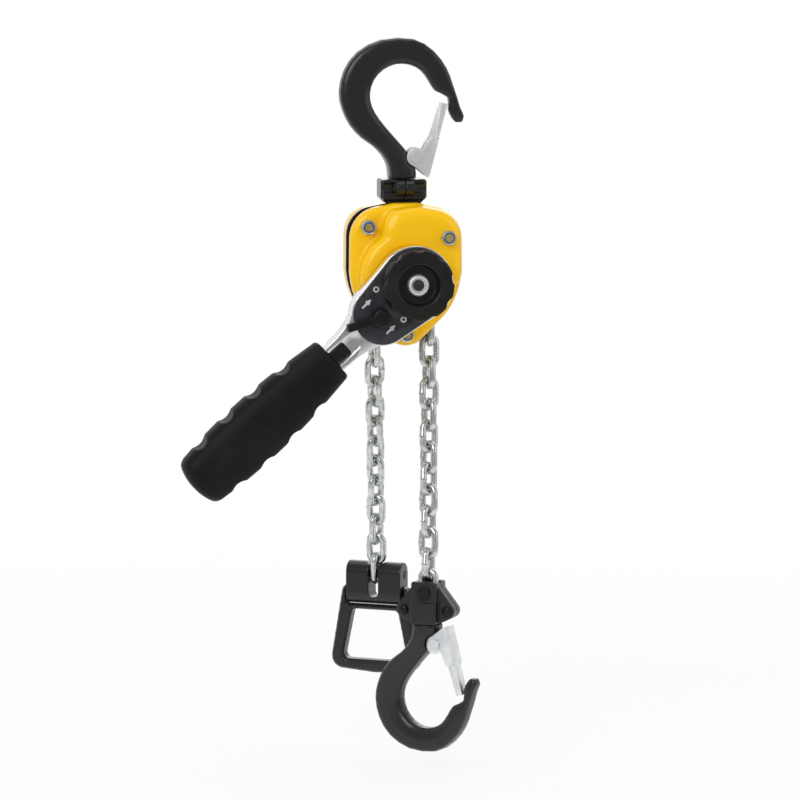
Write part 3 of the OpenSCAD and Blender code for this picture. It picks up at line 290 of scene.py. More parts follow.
@dataclass(frozen=True)
class Plated:
    """Bare or plated metal with drawn lines, clouds and small marks."""

    colour: tuple[float, float, float]
    cloud: tuple[float, float, float]
    roughness: float = 0.25
    spread: float = 0.15
    grain: tuple[float, float, float] = (1.0, 1.0, 1.0)
    grain_size: float = 0.8
    grain_depth: float = 0.02
    cloud_size: float = 6.0

    def make(self, name: str) -> bpy.types.Material:
        """Builds the metal's material.

        Args:
            name: the material's name.

        Returns:
            The material.
        """
        bench = Bench(name)
        cloud = bench.noise(self.cloud_size, 5).rise(0.3, 0.72)
        grain = bench.noise(self.grain_size, 3, self.grain)
        nick = bench.noise(self.grain_size * 1.7, 2).rise(0.66, 0.78)
        colour = bench.tint(cloud * 0.8 + nick * 0.2, self.colour, self.cloud)
        rough = cloud * self.spread + nick * 0.1 + grain * 0.06 + (self.roughness - self.spread / 2)
        return bench.finish(Base_Color=colour, Roughness=rough, Metallic=1.0,
                            Normal=bench.bump(grain, 0.3, self.grain_depth))


@dataclass(frozen=True)
class Threaded:
    """Plated bolt stock with a fine thread rolled round an axis along Y."""

    colour: tuple[float, float, float] = (0.76, 0.56, 0.2)
    sheen: tuple[float, float, float] = (0.42, 0.33, 0.14)
    pitch: float = 0.8

    def make(self, name: str) -> bpy.types.Material:
        """Builds the thread's material.

        Args:
            name: the material's name.

        Returns:
            The material.
        """
        bench = Bench(name)
        along = bench.node("SeparateXYZ", {}, bench.object, output="Y")
        turn = (along * (2 * math.pi / (self.pitch * MM))).maths("SINE")
        cloud = bench.noise(2.4, 3).rise(0.3, 0.7)
        return bench.finish(Base_Color=bench.tint(cloud, self.colour, self.sheen), Metallic=1.0,
                            Roughness=cloud * 0.15 + 0.42, Normal=bench.bump(turn * 0.5 + 0.5, 0.6, 0.25))


@dataclass(frozen=True)
class Rubber:
    """Matt moulded rubber with a pebbled skin and a trace of bloom."""

    colour: tuple[float, float, float] = (0.005, 0.005, 0.0048)
    bloom: tuple[float, float, float] = (0.014, 0.014, 0.013)

    def make(self, name: str) -> bpy.types.Material:
        """Builds the rubber's material.

        Args:
            name: the material's name.

        Returns:
            The material.
        """
        bench = Bench(name)
        pebble = bench.node("TexVoronoi", {"feature": "SMOOTH_F1"}, Vector=bench.object,
                            Scale=1 / (0.9 * MM), Smoothness=0.6)
        bloom = bench.noise(22, 4).rise(0.35, 0.8)
        fine = bench.noise(0.6, 3)
        return bench.finish(Base_Color=bench.tint(bloom * 0.6 + fine * 0.15, self.colour, self.bloom),
                            Roughness=bloom * 0.1 + fine * 0.08 + 0.46, Specular_IOR_Level=0.14,
                            Normal=bench.bump(pebble * 0.7 + fine * 0.3, 0.25, 0.08))


class Finish(Enum):
    """The hoist's finishes, by the record's slot names where it has one."""

    BLACK_FORGING = Forged()
    BLACK_RIVETS = Coated((0.005, 0.005, 0.0055), (0.014, 0.014, 0.015), 0.36, skin=0.7, coat=0.08, gloss=0.2)
    ZINC_LATCH = Plated((0.88, 0.9, 0.91), (0.72, 0.74, 0.76), 0.46, 0.14, (1, 1, 0.25), 1.2, 0.02)
    BLACK_PLATE = Coated((0.004, 0.004, 0.0045), (0.012, 0.012, 0.012), 0.42, skin=0.8, gloss=0.2)
    YELLOW_PAINT = Coated((0.97, 0.555, 0.002), (0.98, 0.575, 0.004), 0.3, 0.08, skin=1.6,
                          skin_depth=0.02, coat=0.5, patches=30, gloss=0.1, glaze=0.14)
    YELLOW_PASSIVATE = Threaded()
    ZINC_NUT = Plated((0.68, 0.7, 0.72), (0.5, 0.53, 0.58), 0.24, 0.14, grain_size=0.5)
    MACHINED_STEEL = Plated((0.42, 0.42, 0.42), (0.3, 0.3, 0.3), 0.34, 0.16, (1, 0.2, 1), 0.6, 0.02)
    BRONZE = Plated((0.55, 0.36, 0.15), (0.4, 0.26, 0.11), 0.4, 0.14)
    FRICTION_LINING = Coated((0.12, 0.06, 0.035), (0.2, 0.11, 0.06), 0.8, skin=0.6, skin_depth=0.1, patches=3)
    SHEAVE_STEEL = Plated((0.3, 0.3, 0.3), (0.2, 0.2, 0.2), 0.46, 0.2, grain_depth=0.08)
    ZINC_CHAIN = Plated((0.7, 0.72, 0.7), (0.46, 0.48, 0.46), 0.26, 0.2, grain_size=1.1,
                        grain_depth=0.12, cloud_size=3.0)
    HANDWHEEL_BLACK = Coated((0.008, 0.008, 0.0075), (0.016, 0.016, 0.015), 0.36, 0.1, skin=0.5,
                             skin_depth=0.03, coat=0.06, gloss=0.22)
    SELECTOR_BLACK = Coated((0.005, 0.005, 0.0055), (0.011, 0.011, 0.011), 0.32, 0.08, skin=0.8,
                            skin_depth=0.02, coat=0.1, gloss=0.2)
    BRIGHT_NUT = Plated((0.92, 0.92, 0.9), (0.8, 0.8, 0.79), 0.48, 0.1, grain_size=0.6, grain_depth=0.01)
    CHROME_LEVER = Plated((0.78, 0.78, 0.79), (0.7, 0.7, 0.71), 0.1, 0.07, (1, 1, 1), 2.4, 0.02, 20.0)
    BLACK_COVER_PLATE = Coated((0.022, 0.024, 0.028), (0.038, 0.042, 0.05), 0.3, 0.12, skin=0.9,
                               skin_depth=0.03, coat=0.15, patches=9, gloss=0.3)
    GRIP_RUBBER = Rubber()
    WHITE_INK = Coated((0.62, 0.63, 0.63), (0.42, 0.43, 0.44), 0.5, skin=0.4, patches=1.5)
    BLUE_NYLON = Coated((0.012, 0.06, 0.17), (0.05, 0.1, 0.17), 0.35, skin=0.5, patches=2)
    # painted dark reflection: the panel in the recess of the lever's chrome neck
    DARK_INLAY = Plated((0.035, 0.036, 0.04), (0.06, 0.062, 0.068), 0.12, 0.08, grain_size=0.9,
                        grain_depth=0.01)
    # dark bluing on the pinion shaft, and painted shade on the floors of the lever's rivet wells
    DARK_BLUING = Coated((0.02, 0.018, 0.017), (0.06, 0.045, 0.035), 0.36, skin=0.6, patches=2)

    @property
    def slot(self) -> str:
        """The finish's name as the record writes slots."""
        return self.name.lower()

    @property
    def recorded(self) -> bool:
        """Whether the record has a slot of this name."""
        return self not in (Finish.WHITE_INK, Finish.BLUE_NYLON, Finish.DARK_BLUING, Finish.DARK_INLAY)

    def material(self) -> bpy.types.Material:
        """The finish's material, made when first asked for."""
        name = "hoist_" + self.slot
        return bpy.data.materials.get(name) or self.value.make(name)


# ---------------------------------------------------------------- pieces


class Skin(Enum):
    """How a CAD node's copy is refined."""

    FORGED = "voxel skin, smoothed all round"
    PRESSED = "voxel skin, smoothed where the sheet is drawn"
    BEVELLED = "sharp edges broken by a small bevel"


@dataclass
class Piece:
    """A finished skin that stands for one CAD node.

    grain is the voxel or the bevel in mm and passes the rounds of smoothing. A pressed sheet keeps its flat
    flange, up to flange mm from the middle, and the seats in keep, each with its reach. Faces within flat
    degrees are merged, and edges over sharp degrees are bevelled unless they are under shortest bevels long.
    pads are boxes, each by its two corners, that back a wall where it is thinner than a voxel.
    """

    node: str
    body: str
    finish: Finish
    skin: Skin
    grain: float = 0.5
    passes: int = 4
    keep: list[tuple[Vector, float]] = field(default_factory=list)
    flange: float = 0.0
    flat: float = 0.6
    sharp: float = 32.0
    shortest: float = 0.6
    fade: float = 2.0
    seat_fade: float = 3.0
    least: float = 0.04
    pads: tuple[tuple[Vector, Vector], ...] = ()
    shape: Callable[[bpy.types.Mesh], None] | None = None

    def build(self) -> bpy.types.Object:
        """Makes the piece, hangs it on its body and hides the CAD node it stands for.

        Returns:
            The finished object.
        """
        mesh = bpy.data.meshes.new(self.node + "_skin")
        bm = bmesh.new()
        bm.from_mesh(bpy.data.objects[self.node].data)
        bmesh.ops.remove_doubles(bm, verts=bm.verts, dist=2e-6)
        for low, high in self.pads:
            middle, sides = (low + high) / 2 * MM, (high - low) * MM
            bmesh.ops.create_cube(bm, size=1.0, matrix=Matrix.LocRotScale(middle, None, sides))
        if self.skin is Skin.BEVELLED:
            self._break_edges(bm)
        bm.to_mesh(mesh)
        bm.free()
        piece = bpy.data.objects.new(self.node + "_skin", mesh)
        bpy.context.scene.collection.objects.link(piece)
        if self.skin is not Skin.BEVELLED:
            self._remesh(piece)
        return Workshop.place(piece, self.body, self.finish, self.node)

    def _break_edges(self, bm: bmesh.types.BMesh) -> None:
        """Merges flat triangles and bevels the sharp edges.

        Args:
            bm: the copy of the CAD node, changed in place.
        """
        bmesh.ops.dissolve_limit(bm, angle_limit=math.radians(self.flat), verts=bm.verts, edges=bm.edges,
                                 delimit={"NORMAL"})
        sharp = [e for e in bm.edges if len(e.link_faces) == 2
                 and e.calc_face_angle(0) > math.radians(self.sharp)
                 and e.calc_length() > self.grain * MM * self.shortest]
        bmesh.ops.bevel(bm, geom=sharp, offset=self.grain * MM, offset_type="OFFSET", segments=2, profile=0.5,
                        affect="EDGES", clamp_overlap=True, material=-1)

    def _remesh(self, piece: bpy.types.Object) -> None:
        """Wraps the piece in a fine skin and smooths it.

        Args:
            piece: the copy of the CAD node.
        """
        remesh = piece.modifiers.new("skin", "REMESH")
        remesh.mode = "VOXEL"
        remesh.voxel_size = self.grain * MM
        remesh.use_smooth_shade = True
        Workshop.apply(piece)
        if self.shape:
            self.shape(piece.data)
        if self.skin is Skin.PRESSED:
            group = piece.vertex_groups.new(name="drawn")
            for v in piece.data.vertices:
                group.add([v.index], self._drawn(v.co), "REPLACE")
        smooth = piece.modifiers.new("smooth", "SMOOTH")
        smooth.factor = 0.5
        smooth.iterations = self.passes
        if self.skin is Skin.PRESSED:
            smooth.vertex_group = "drawn"
        Workshop.apply(piece)

    def _drawn(self, co: Vector) -> float:
        """Share of the smoothing at a point of a pressed sheet.

        Args:
            co: the point, in metres.

        Returns:
            0 on the flange, nearly 0 on a seat that is kept, and 1 well away from both.
        """
        depth = abs(co.y) / MM - self.flange
        share = min(1.0, max(0.0, depth / self.fade))
        for spot, reach in self.keep:
            away = math.hypot(co.x / MM - spot.x, co.z / MM - spot.z) - reach
            share = min(share, max(self.least, away / self.seat_fade))
        return share


class Workshop:
    """Shared handling of finished pieces."""

    crease: float = 38.0    # edges sharper than this, in degrees, are shaded as edges

    @staticmethod
    def apply(piece: bpy.types.Object) -> None:
        """Bakes a piece's modifiers into its mesh.

        Args:
            piece: the object that has them.
        """
        graph = bpy.context.evaluated_depsgraph_get()
        done = bpy.data.meshes.new_from_object(piece.evaluated_get(graph))
        piece.modifiers.clear()
        piece.data = done

    @staticmethod
    def place(piece: bpy.types.Object, body: str, finish: Finish, *nodes: str) -> bpy.types.Object:
        """Dresses a piece, hangs it on its body's empty and hides the CAD nodes it stands for.

        Args:
            piece: the finished object.
            body: the CAD body it moves with.
            finish: its finish.
            nodes: the CAD nodes it stands for.

        Returns:
            The same object.
        """
        piece.data.materials.clear()
        piece.data.materials.append(finish.material())
        piece.data.shade_smooth()
        piece.data.set_sharp_from_angle(angle=math.radians(Workshop.crease))
        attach(piece, body)
        if nodes:
            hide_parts(*nodes)
        LOG.info("%s: %d faces on %s", piece.name, len(piece.data.polygons), body)
        return piece

    @staticmethod
    def new(name: str, bm: bmesh.types.BMesh) -> bpy.types.Object:
        """Makes an object of a bmesh and frees the bmesh.

        Args:
            name: the object's name.
            bm: its shape, in mm.

        Returns:
            The object, in metres.
        """
        bmesh.ops.scale(bm, vec=(MM, MM, MM), verts=bm.verts)
        bmesh.ops.recalc_face_normals(bm, faces=bm.faces)
        mesh = bpy.data.meshes.new(name)
        bm.to_mesh(mesh)
        bm.free()
        made = bpy.data.objects.new(name, mesh)
        bpy.context.scene.collection.objects.link(made)
        return made


@dataclass
class Chain:
    """Welded load chain: two hanging strands and the links over the sheave.

    Lengths are in mm and angles in degrees. A strand's first link hangs first_in nearer to the sheave's axis,
    and its links from kink_links on lean by its entry in leans, in the plane at lean_turn.
    """

    wire: float = 4.0
    inner: float = 5.0
    pitch: float = 12.55
    play: float = 0.3
    first_in: float = 0.2
    links: int = 15
    twist: float = 58.0
    kink_links: int = 3
    leans: tuple[float, float] = (-5.0, 14.4)
    lean_turn: float = -12.0
    weld: float = 0.12
    weld_half: float = 0.7
    weld_cuts: tuple[float, ...] = (-1.4, -0.6, 0.6, 1.4)
    pocket: float = 45.0
    sheave_count: int = 4
    ring_steps: int = 32
    wire_steps: int = 14

    def link(self) -> bpy.types.Mesh:
        """One link, long side along Z, with a weld on one side.

        Returns:
            The link's mesh, in mm.
        """
        straight = (self.pitch + self.play - self.inner) / 2
        reach = (self.inner + self.wire) / 2
        bm = bmesh.new()
        bmesh.ops.create_circle(bm, radius=self.wire / 2, segments=self.wire_steps,
                                matrix=Matrix.Translation((reach, 0, 0)))
        bmesh.ops.spin(bm, geom=bm.verts[:] + bm.edges[:], cent=(0, 0, 0), axis=(0, 1, 0), dvec=(0, 0, 0),
                       angle=2 * math.pi, steps=self.ring_steps, use_merge=True)
        for v in bm.verts:
            if abs(v.co.z) > 1e-3:
                v.co.z += math.copysign(straight, v.co.z)
        for height in self.weld_cuts:
            bmesh.ops.bisect_plane(bm, geom=bm.verts[:] + bm.edges[:] + bm.faces[:], dist=1e-5,
                                   plane_co=(0, 0, height), plane_no=(0, 0, 1))
        middle = Vector((reach, 0, 0))
        for v in bm.verts:
            if v.co.x > reach - self.wire / 4 and abs(v.co.z) < self.weld_half:
                v.co += (Vector((v.co.x, v.co.y, 0)) - middle) * self.weld
        mesh = bpy.data.meshes.new("one_link")
        bm.to_mesh(mesh)
        bm.free()
        return mesh

    def strand_place(self, side: int, i: int) -> Matrix:
        """Place of a link of a strand.

        Args:
            side: 0 on the load side and 1 on the slack side.
            i: the link's number, counted from the sheave.

        Returns:
            The matrix in mm.
        """
        kink = self.pitch * self.kink_links - (self.play + self.wire) / 2
        reach = self.pitch / (2 * math.sin(math.radians(self.pocket / 2)))
        if i == 0:
            reach -= self.first_in
        lean = math.radians(self.leans[side] if i >= self.kink_links else 0.0)
        turn = math.radians((90 if side == 0 else 0) + (i % 2) * 90 + self.twist / (self.links - 1) * i)
        plane = Matrix.Rotation(math.radians(self.lean_turn), 4, "Z")
        return (Matrix.Translation(AXIS + Vector((reach if side == 0 else -reach, 0, -kink)))
                @ plane @ Matrix.Rotation(lean, 4, "X") @ plane.inverted()
                @ Matrix.Translation((0, 0, kink - self.pitch * (i + 0.5)))
                @ Matrix.Rotation(turn, 4, "Z"))

    def sheave_place(self, i: int) -> Matrix:
        """Place of a link over the sheave.

        Args:
            i: the link's number, counted from the load side.

        Returns:
            The matrix in mm.
        """
        mid = (self.inner + self.wire) / 2
        up = (self.pitch - mid) / 2
        flat = self.pitch - up
        corner = math.sqrt(2 * (up * up + flat * flat + 2 * up * flat * math.cos(math.radians(self.pocket))))
        reach = math.sqrt(corner ** 2 - (up if i % 2 == 0 else flat) ** 2)
        return (Matrix.Translation(AXIS) @ Matrix.Rotation(-math.radians(self.pocket * (i + 0.5)), 4, "Y")
                @ Matrix.Translation((reach, 0, 0)) @ Matrix.Rotation(math.radians(i % 2 * 90), 4, "Z"))

    def build(self) -> None:
        """Makes the two strands and the links on the sheave."""
        link = self.link()
        runs = {"load_chain": [self.strand_place(0, i) for i in range(self.links)],
                "slack_chain": [self.strand_place(1, i) for i in range(self.links)],
                "sheave_links": [self.sheave_place(i) for i in range(self.sheave_count)]}
        for node, places in runs.items():
            bm = bmesh.new()
            for place in places:
                start = len(bm.verts)
                bm.from_mesh(link)
                bm.verts.ensure_lookup_table()
                bmesh.ops.transform(bm, matrix=place, verts=bm.verts[start:])
            body = "sheave" if node == "sheave_links" else node
            Workshop.place(Workshop.new(node + "_welded", bm), body, Finish.ZINC_CHAIN, node)
        bpy.data.meshes.remove(link)


@dataclass
class LeverFace:
    """Printed arrows on the lever's cover plate, and dark discs of painted shade in the wells of its hollow
    rivets.

    Places are in mm along and across the lever, which rests at the angle rest from +X towards +Z.
    """

    front: float = 48.9
    rest: float = 222.0
    arrows: tuple[tuple[float, float], ...] = ((28.9, -11.4), (28.5, 9.3))
    ink: float = 0.05
    rivets: tuple[tuple[float, float], ...] = ((19.3, -13.9), (19.2, 10.0), (-12.0, 11.0), (-12.0, -11.0))
    # well is the radius of each rivet well's disc of painted shade
    well: float = 0.86
    well_sides: int = 32
    arrow_turn: float = 44.0
    arrow: tuple[tuple[float, float], ...] = (
        (-3.6, 0.5), (-1.2, 0.6), (0.4, 0.9), (0.4, 1.7), (3.6, 0.0),
        (0.4, -1.7), (0.4, -0.9), (-1.2, -0.6), (-3.6, -0.5))

    def at(self, spot: tuple[float, float], turn: float) -> Matrix:
        """Frame of a mark: X along its length, Y towards the front, origin on the plate.

        Args:
            spot: place along and across the lever.
            turn: direction of the mark's length, in degrees from +X towards +Z.

        Returns:
            The matrix in mm.
        """
        a = math.radians(self.rest)
        u, v = spot
        x, z = u * math.cos(a) - v * math.sin(a), u * math.sin(a) + v * math.cos(a)
        place = AXIS + Vector((x, -self.front, z))
        return Matrix.Translation(place) @ Matrix.Rotation(-math.radians(turn), 4, "Y")

    def build(self) -> None:
        """Makes the arrows as thin inked shapes, and the painted shade of the rivet wells as thin dark discs.
        """
        bm = bmesh.new()
        for spot in self.arrows:
            corners = [bm.verts.new((x, 0, z)) for x, z in self.arrow]
            self._lay_mark(bm, [bm.faces.new(corners)], self.at(spot, self.arrow_turn), corners)
        Workshop.place(Workshop.new("lever_marks", bm), "lever", Finish.WHITE_INK)
        bm = bmesh.new()
        turns = [2 * math.pi * i / self.well_sides for i in range(self.well_sides)]
        for spot in self.rivets:
            corners = [bm.verts.new((self.well * math.cos(t), 0, self.well * math.sin(t))) for t in turns]
            self._lay_mark(bm, [bm.faces.new(corners)], self.at(spot, 0.0), corners)
        # painted shade: dark discs on the floors of the hollow rivets' wells
        Workshop.place(Workshop.new("rivet_wells", bm), "lever", Finish.DARK_BLUING)

    def _lay_mark(self, bm: bmesh.types.BMesh, faces: list, place: Matrix, verts: list) -> None:
        """Gives a flat mark its thickness and moves it on to the plate.

        Args:
            bm: the marks' shape.
            faces: the mark's one face.
            place: the mark's frame.
            verts: the face's corners.
        """
        out = bmesh.ops.extrude_face_region(bm, geom=faces)["geom"]
        top = [g for g in out if isinstance(g, bmesh.types.BMVert)]
        bmesh.ops.translate(bm, vec=(0, -self.ink, 0), verts=top)
        bmesh.ops.transform(bm, matrix=place, verts=list(set(verts) | set(top)))


@dataclass
class GripEnd:
    """Crisp corners and a bowed end for the grip, whose solid has a plain rounding there.

    rounding and bow are in mm. spread is the share of the rounding that is taken out of the outline, and the
    grip's width is measured over the last band mm before the rounding.
    """

    rounding: float = 7.0
    bow: float = 4.2
    spread: float = 0.94
    band: float = 1.5

    def shape(self, mesh: bpy.types.Mesh) -> None:
        """Spreads the rounded end across the lever and bows it.

        Args:
            mesh: the grip's fine skin, changed in place.
        """
        a = math.radians(LeverFace.rest)
        along, across = Vector((math.cos(a), 0, math.sin(a))), Vector((-math.sin(a), 0, math.cos(a)))
        spots = [(v, (v.co / MM - AXIS).dot(along), (v.co / MM - AXIS).dot(across)) for v in mesh.vertices]
        end = max(u for _, u, _ in spots)
        start = end - self.rounding
        half = max(abs(v) for _, u, v in spots if start - self.band < u < start)
        for vertex, u, v in spots:
            if u <= start:
                continue
            t = min(1.0, (u - start) / self.rounding)
            inset = self.rounding * (1 - math.sqrt(1 - t * t))
            wide = v * half / (half - self.spread * inset)
            back = self.bow * t * (wide / half) ** 2
            vertex.co += ((wide - v) * across - back * along) * MM


@dataclass
class NeckReflectionPanel:
    """Painted dark reflection: a dark mirror-smooth panel in the recess of the lever's neck, in mm along and
    across the lever.
    """

    start: float = 54.0
    end: float = 66.5
    half: float = 4.2
    depth: float = 47.55
    sheet: float = 0.5
    radius: float = 1.6
    edge: float = 0.15

    def build(self) -> None:
        """Makes the panel as a bevelled plate, let into the recess."""
        bm = bmesh.new()
        bmesh.ops.create_cube(bm, size=1.0)
        bmesh.ops.scale(bm, vec=(self.end - self.start, self.sheet, 2 * self.half), verts=bm.verts)
        upright = [e for e in bm.edges if e.verts[0].co.y * e.verts[1].co.y < 0]
        bmesh.ops.bevel(bm, geom=upright, offset=self.radius, offset_type="OFFSET", segments=6, profile=0.5,
                        affect="EDGES", clamp_overlap=True, material=-1)
        rim = [e for e in bm.edges if e.verts[0].co.y < 0 and e.verts[1].co.y < 0]
        bmesh.ops.bevel(bm, geom=rim, offset=self.edge, offset_type="OFFSET", segments=2, profile=0.5,
                        affect="EDGES", clamp_overlap=True, material=-1)
        a = math.radians(LeverFace.rest)
        u = (self.start + self.end) / 2
        place = Matrix.Translation(AXIS + Vector((u * math.cos(a), -self.depth, u * math.sin(a))))
        bmesh.ops.transform(bm, matrix=place @ Matrix.Rotation(-a, 4, "Y"), verts=bm.verts)
        # the painted dark reflection in the neck's recess
        Workshop.place(Workshop.new("neck_inlay", bm), "lever", Finish.DARK_INLAY)


@dataclass
class LockNuts:
    """Nylon rings in the three lock nuts of the body, in mm."""

    nuts: str = "stay_nuts"
    reach: float = 6.0
    inner: float = 2.3
    outer: float = 3.2
    sunk: float = 0.24
    ring_steps: int = 32
    ring_sides: int = 10

    def build(self) -> None:
        """Makes one blue ring at the mouth of each nut."""
        mid, half = (self.inner + self.outer) / 2, (self.outer - self.inner) / 2
        bm = bmesh.new()
        for centre, front in self._mouths():
            start = len(bm.verts)
            bmesh.ops.create_circle(bm, radius=half, segments=self.ring_sides,
                                    matrix=Matrix.Translation((mid, 0, 0)) @ Matrix.Rotation(math.pi, 4, "X"))
            bm.verts.ensure_lookup_table()
            profile = bm.verts[start:]
            edges = [e for e in bm.edges if e.verts[0] in profile]
            bmesh.ops.spin(bm, geom=profile + edges, cent=(0, 0, 0), axis=(0, 1, 0), dvec=(0, 0, 0),
                           angle=2 * math.pi, steps=self.ring_steps, use_merge=True)
            bm.verts.ensure_lookup_table()
            bmesh.ops.translate(bm, vec=(centre.x, front, centre.z), verts=bm.verts[start:])
        Workshop.place(Workshop.new("nylon_rings", bm), "frame", Finish.BLUE_NYLON)

    def _mouths(self) -> list[tuple[Vector, float]]:
        """Finds where the rings sit.

        Returns:
            Each nut's middle and the depth of its ring, in mm.
        """
        corners = [v.co / MM - AXIS for v in bpy.data.objects[self.nuts].data.vertices]
        found = []
        for x, z in STAYS:
            front = min(c.y for c in corners if math.hypot(c.x - x, c.z - z) < self.reach)
            found.append((AXIS + Vector((x, 0.0, z)), front + self.sunk))
        return found


# ---------------------------------------------------------------- the hoist


@dataclass
class Hoist:
    """The whole hoist: every node with its body, finish and skin."""

    carried: dict[str, Finish] = field(default_factory=lambda: {
        "top_latch_pin": Finish.ZINC_LATCH, "top_latch_spring": Finish.ZINC_LATCH,
        "bottom_latch_pin": Finish.ZINC_LATCH, "bottom_latch_spring": Finish.ZINC_LATCH,
        "top_yoke_rivets": Finish.BLACK_RIVETS, "bottom_block_rivets": Finish.BLACK_RIVETS,
        "load_chain_pin": Finish.BLACK_RIVETS, "stopper_chain_pin": Finish.BLACK_RIVETS,
        "handle_pin": Finish.BLACK_RIVETS, "stay_bolts": Finish.YELLOW_PASSIVATE,
        "stay_spacers": Finish.MACHINED_STEEL, "chain_guide": Finish.MACHINED_STEEL,
        "pawl_pins": Finish.MACHINED_STEEL, "top_pin": Finish.MACHINED_STEEL,
        "load_gear": Finish.MACHINED_STEEL, "lay_gear_right": Finish.MACHINED_STEEL,
        "lay_gear_left": Finish.MACHINED_STEEL, "pinion_shaft": Finish.DARK_BLUING,
        "friction_hub": Finish.MACHINED_STEEL, "change_gear": Finish.MACHINED_STEEL,
        "ratchet_disc": Finish.MACHINED_STEEL, "brake_pawl_right": Finish.MACHINED_STEEL,
        "brake_pawl_left": Finish.MACHINED_STEEL, "lever_pawl": Finish.MACHINED_STEEL,
        "detent": Finish.MACHINED_STEEL, "sheave_bushes": Finish.BRONZE, "shaft_bushes": Finish.BRONZE,
        "friction_discs": Finish.FRICTION_LINING, "load_sheave": Finish.SHEAVE_STEEL,
        "wheel_washer": Finish.BRIGHT_NUT, "lever_screws": Finish.BRIGHT_NUT})
    nut_seat: float = 4.8
    wheel_seat: float = 19.6

    def skins(self) -> list[Piece]:
        """The pieces that refine a CAD node.

        Returns:
            One piece for each node, with its finish, its skin and the skin's sizes in mm.
        """
        F, S = Finish, Skin
        nuts = [(AXIS + Vector((x, 0.0, z)), self.nut_seat) for x, z in STAYS]
        seats = [*nuts, (AXIS, self.wheel_seat)]
        foot = (Vector((24.0, -23.5, -107.7)), Vector((30.9, -16.5, -106.3)))
        return [
            Piece("top_hook", "top_hook", F.BLACK_FORGING, S.FORGED, 0.5, 8),
            Piece("bottom_hook", "bottom_hook", F.BLACK_FORGING, S.FORGED, 0.5, 8),
            Piece("top_yoke_left", "yoke", F.BLACK_FORGING, S.FORGED, 0.4, 4),
            Piece("top_yoke_right", "yoke", F.BLACK_FORGING, S.FORGED, 0.4, 4),
            Piece("bottom_block_front", "bottom_block", F.BLACK_FORGING, S.FORGED, 0.4, 4),
            Piece("bottom_block_back", "bottom_block", F.BLACK_FORGING, S.FORGED, 0.4, 4),
            Piece("stopper_block", "stopper", F.BLACK_FORGING, S.FORGED, 0.45, 5),
            Piece("stopper_handle", "stopper_handle", F.BLACK_FORGING, S.FORGED, 0.5, 6),
            Piece("brake_cover", "frame", F.YELLOW_PAINT, S.PRESSED, 0.62, 26, seats, 11.6,
                  pads=(foot,)),
            Piece("gear_cover", "frame", F.YELLOW_PAINT, S.PRESSED, 0.66, 20, nuts, 11.6),
            Piece("handwheel", "drive", F.HANDWHEEL_BLACK, S.FORGED, 0.4, 4),
            Piece("selector", "selector", F.SELECTOR_BLACK, S.FORGED, 0.28, 5),
            Piece("lever_grip", "lever", F.GRIP_RUBBER, S.FORGED, 0.7, 4, shape=GripEnd().shape),
            Piece("lever", "lever", F.CHROME_LEVER, S.BEVELLED, 0.35),
            Piece("lever_back_plate", "lever", F.CHROME_LEVER, S.BEVELLED, 0.25),
            Piece("lever_cover_plate", "lever", F.BLACK_COVER_PLATE, S.BEVELLED, 0.22),
            Piece("front_side_plate", "frame", F.BLACK_PLATE, S.BEVELLED, 0.2),
            Piece("rear_side_plate", "frame", F.BLACK_PLATE, S.BEVELLED, 0.2),
            Piece("top_latch", "top_latch", F.ZINC_LATCH, S.BEVELLED, 0.22),
            Piece("bottom_latch", "bottom_latch", F.ZINC_LATCH, S.BEVELLED, 0.22),
            Piece("stay_nuts", "frame", F.ZINC_NUT, S.BEVELLED, 0.25),
            Piece("wheel_nut", "drive", F.BRIGHT_NUT, S.BEVELLED, 0.3),
        ]

    def build(self) -> None:
        """Dresses the CAD nodes and makes every finer piece."""
        for node, finish in self.carried.items():
            thing = bpy.data.objects[node]
            thing.data.materials.clear()
            thing.data.materials.append(finish.material())
            LOG.info("%s: carried over in %s", node, finish.slot)
        for piece in self.skins():
            piece.build()
        Chain().build()
        LeverFace().build()
        NeckReflectionPanel().build()
        LockNuts().build()


@dataclass(frozen=True)
class Lamp:
    """A square soft lamp: its place and side in mm, and its power in watts."""

    name: str
    place: tuple[float, float, float]
    size: float
    power: float


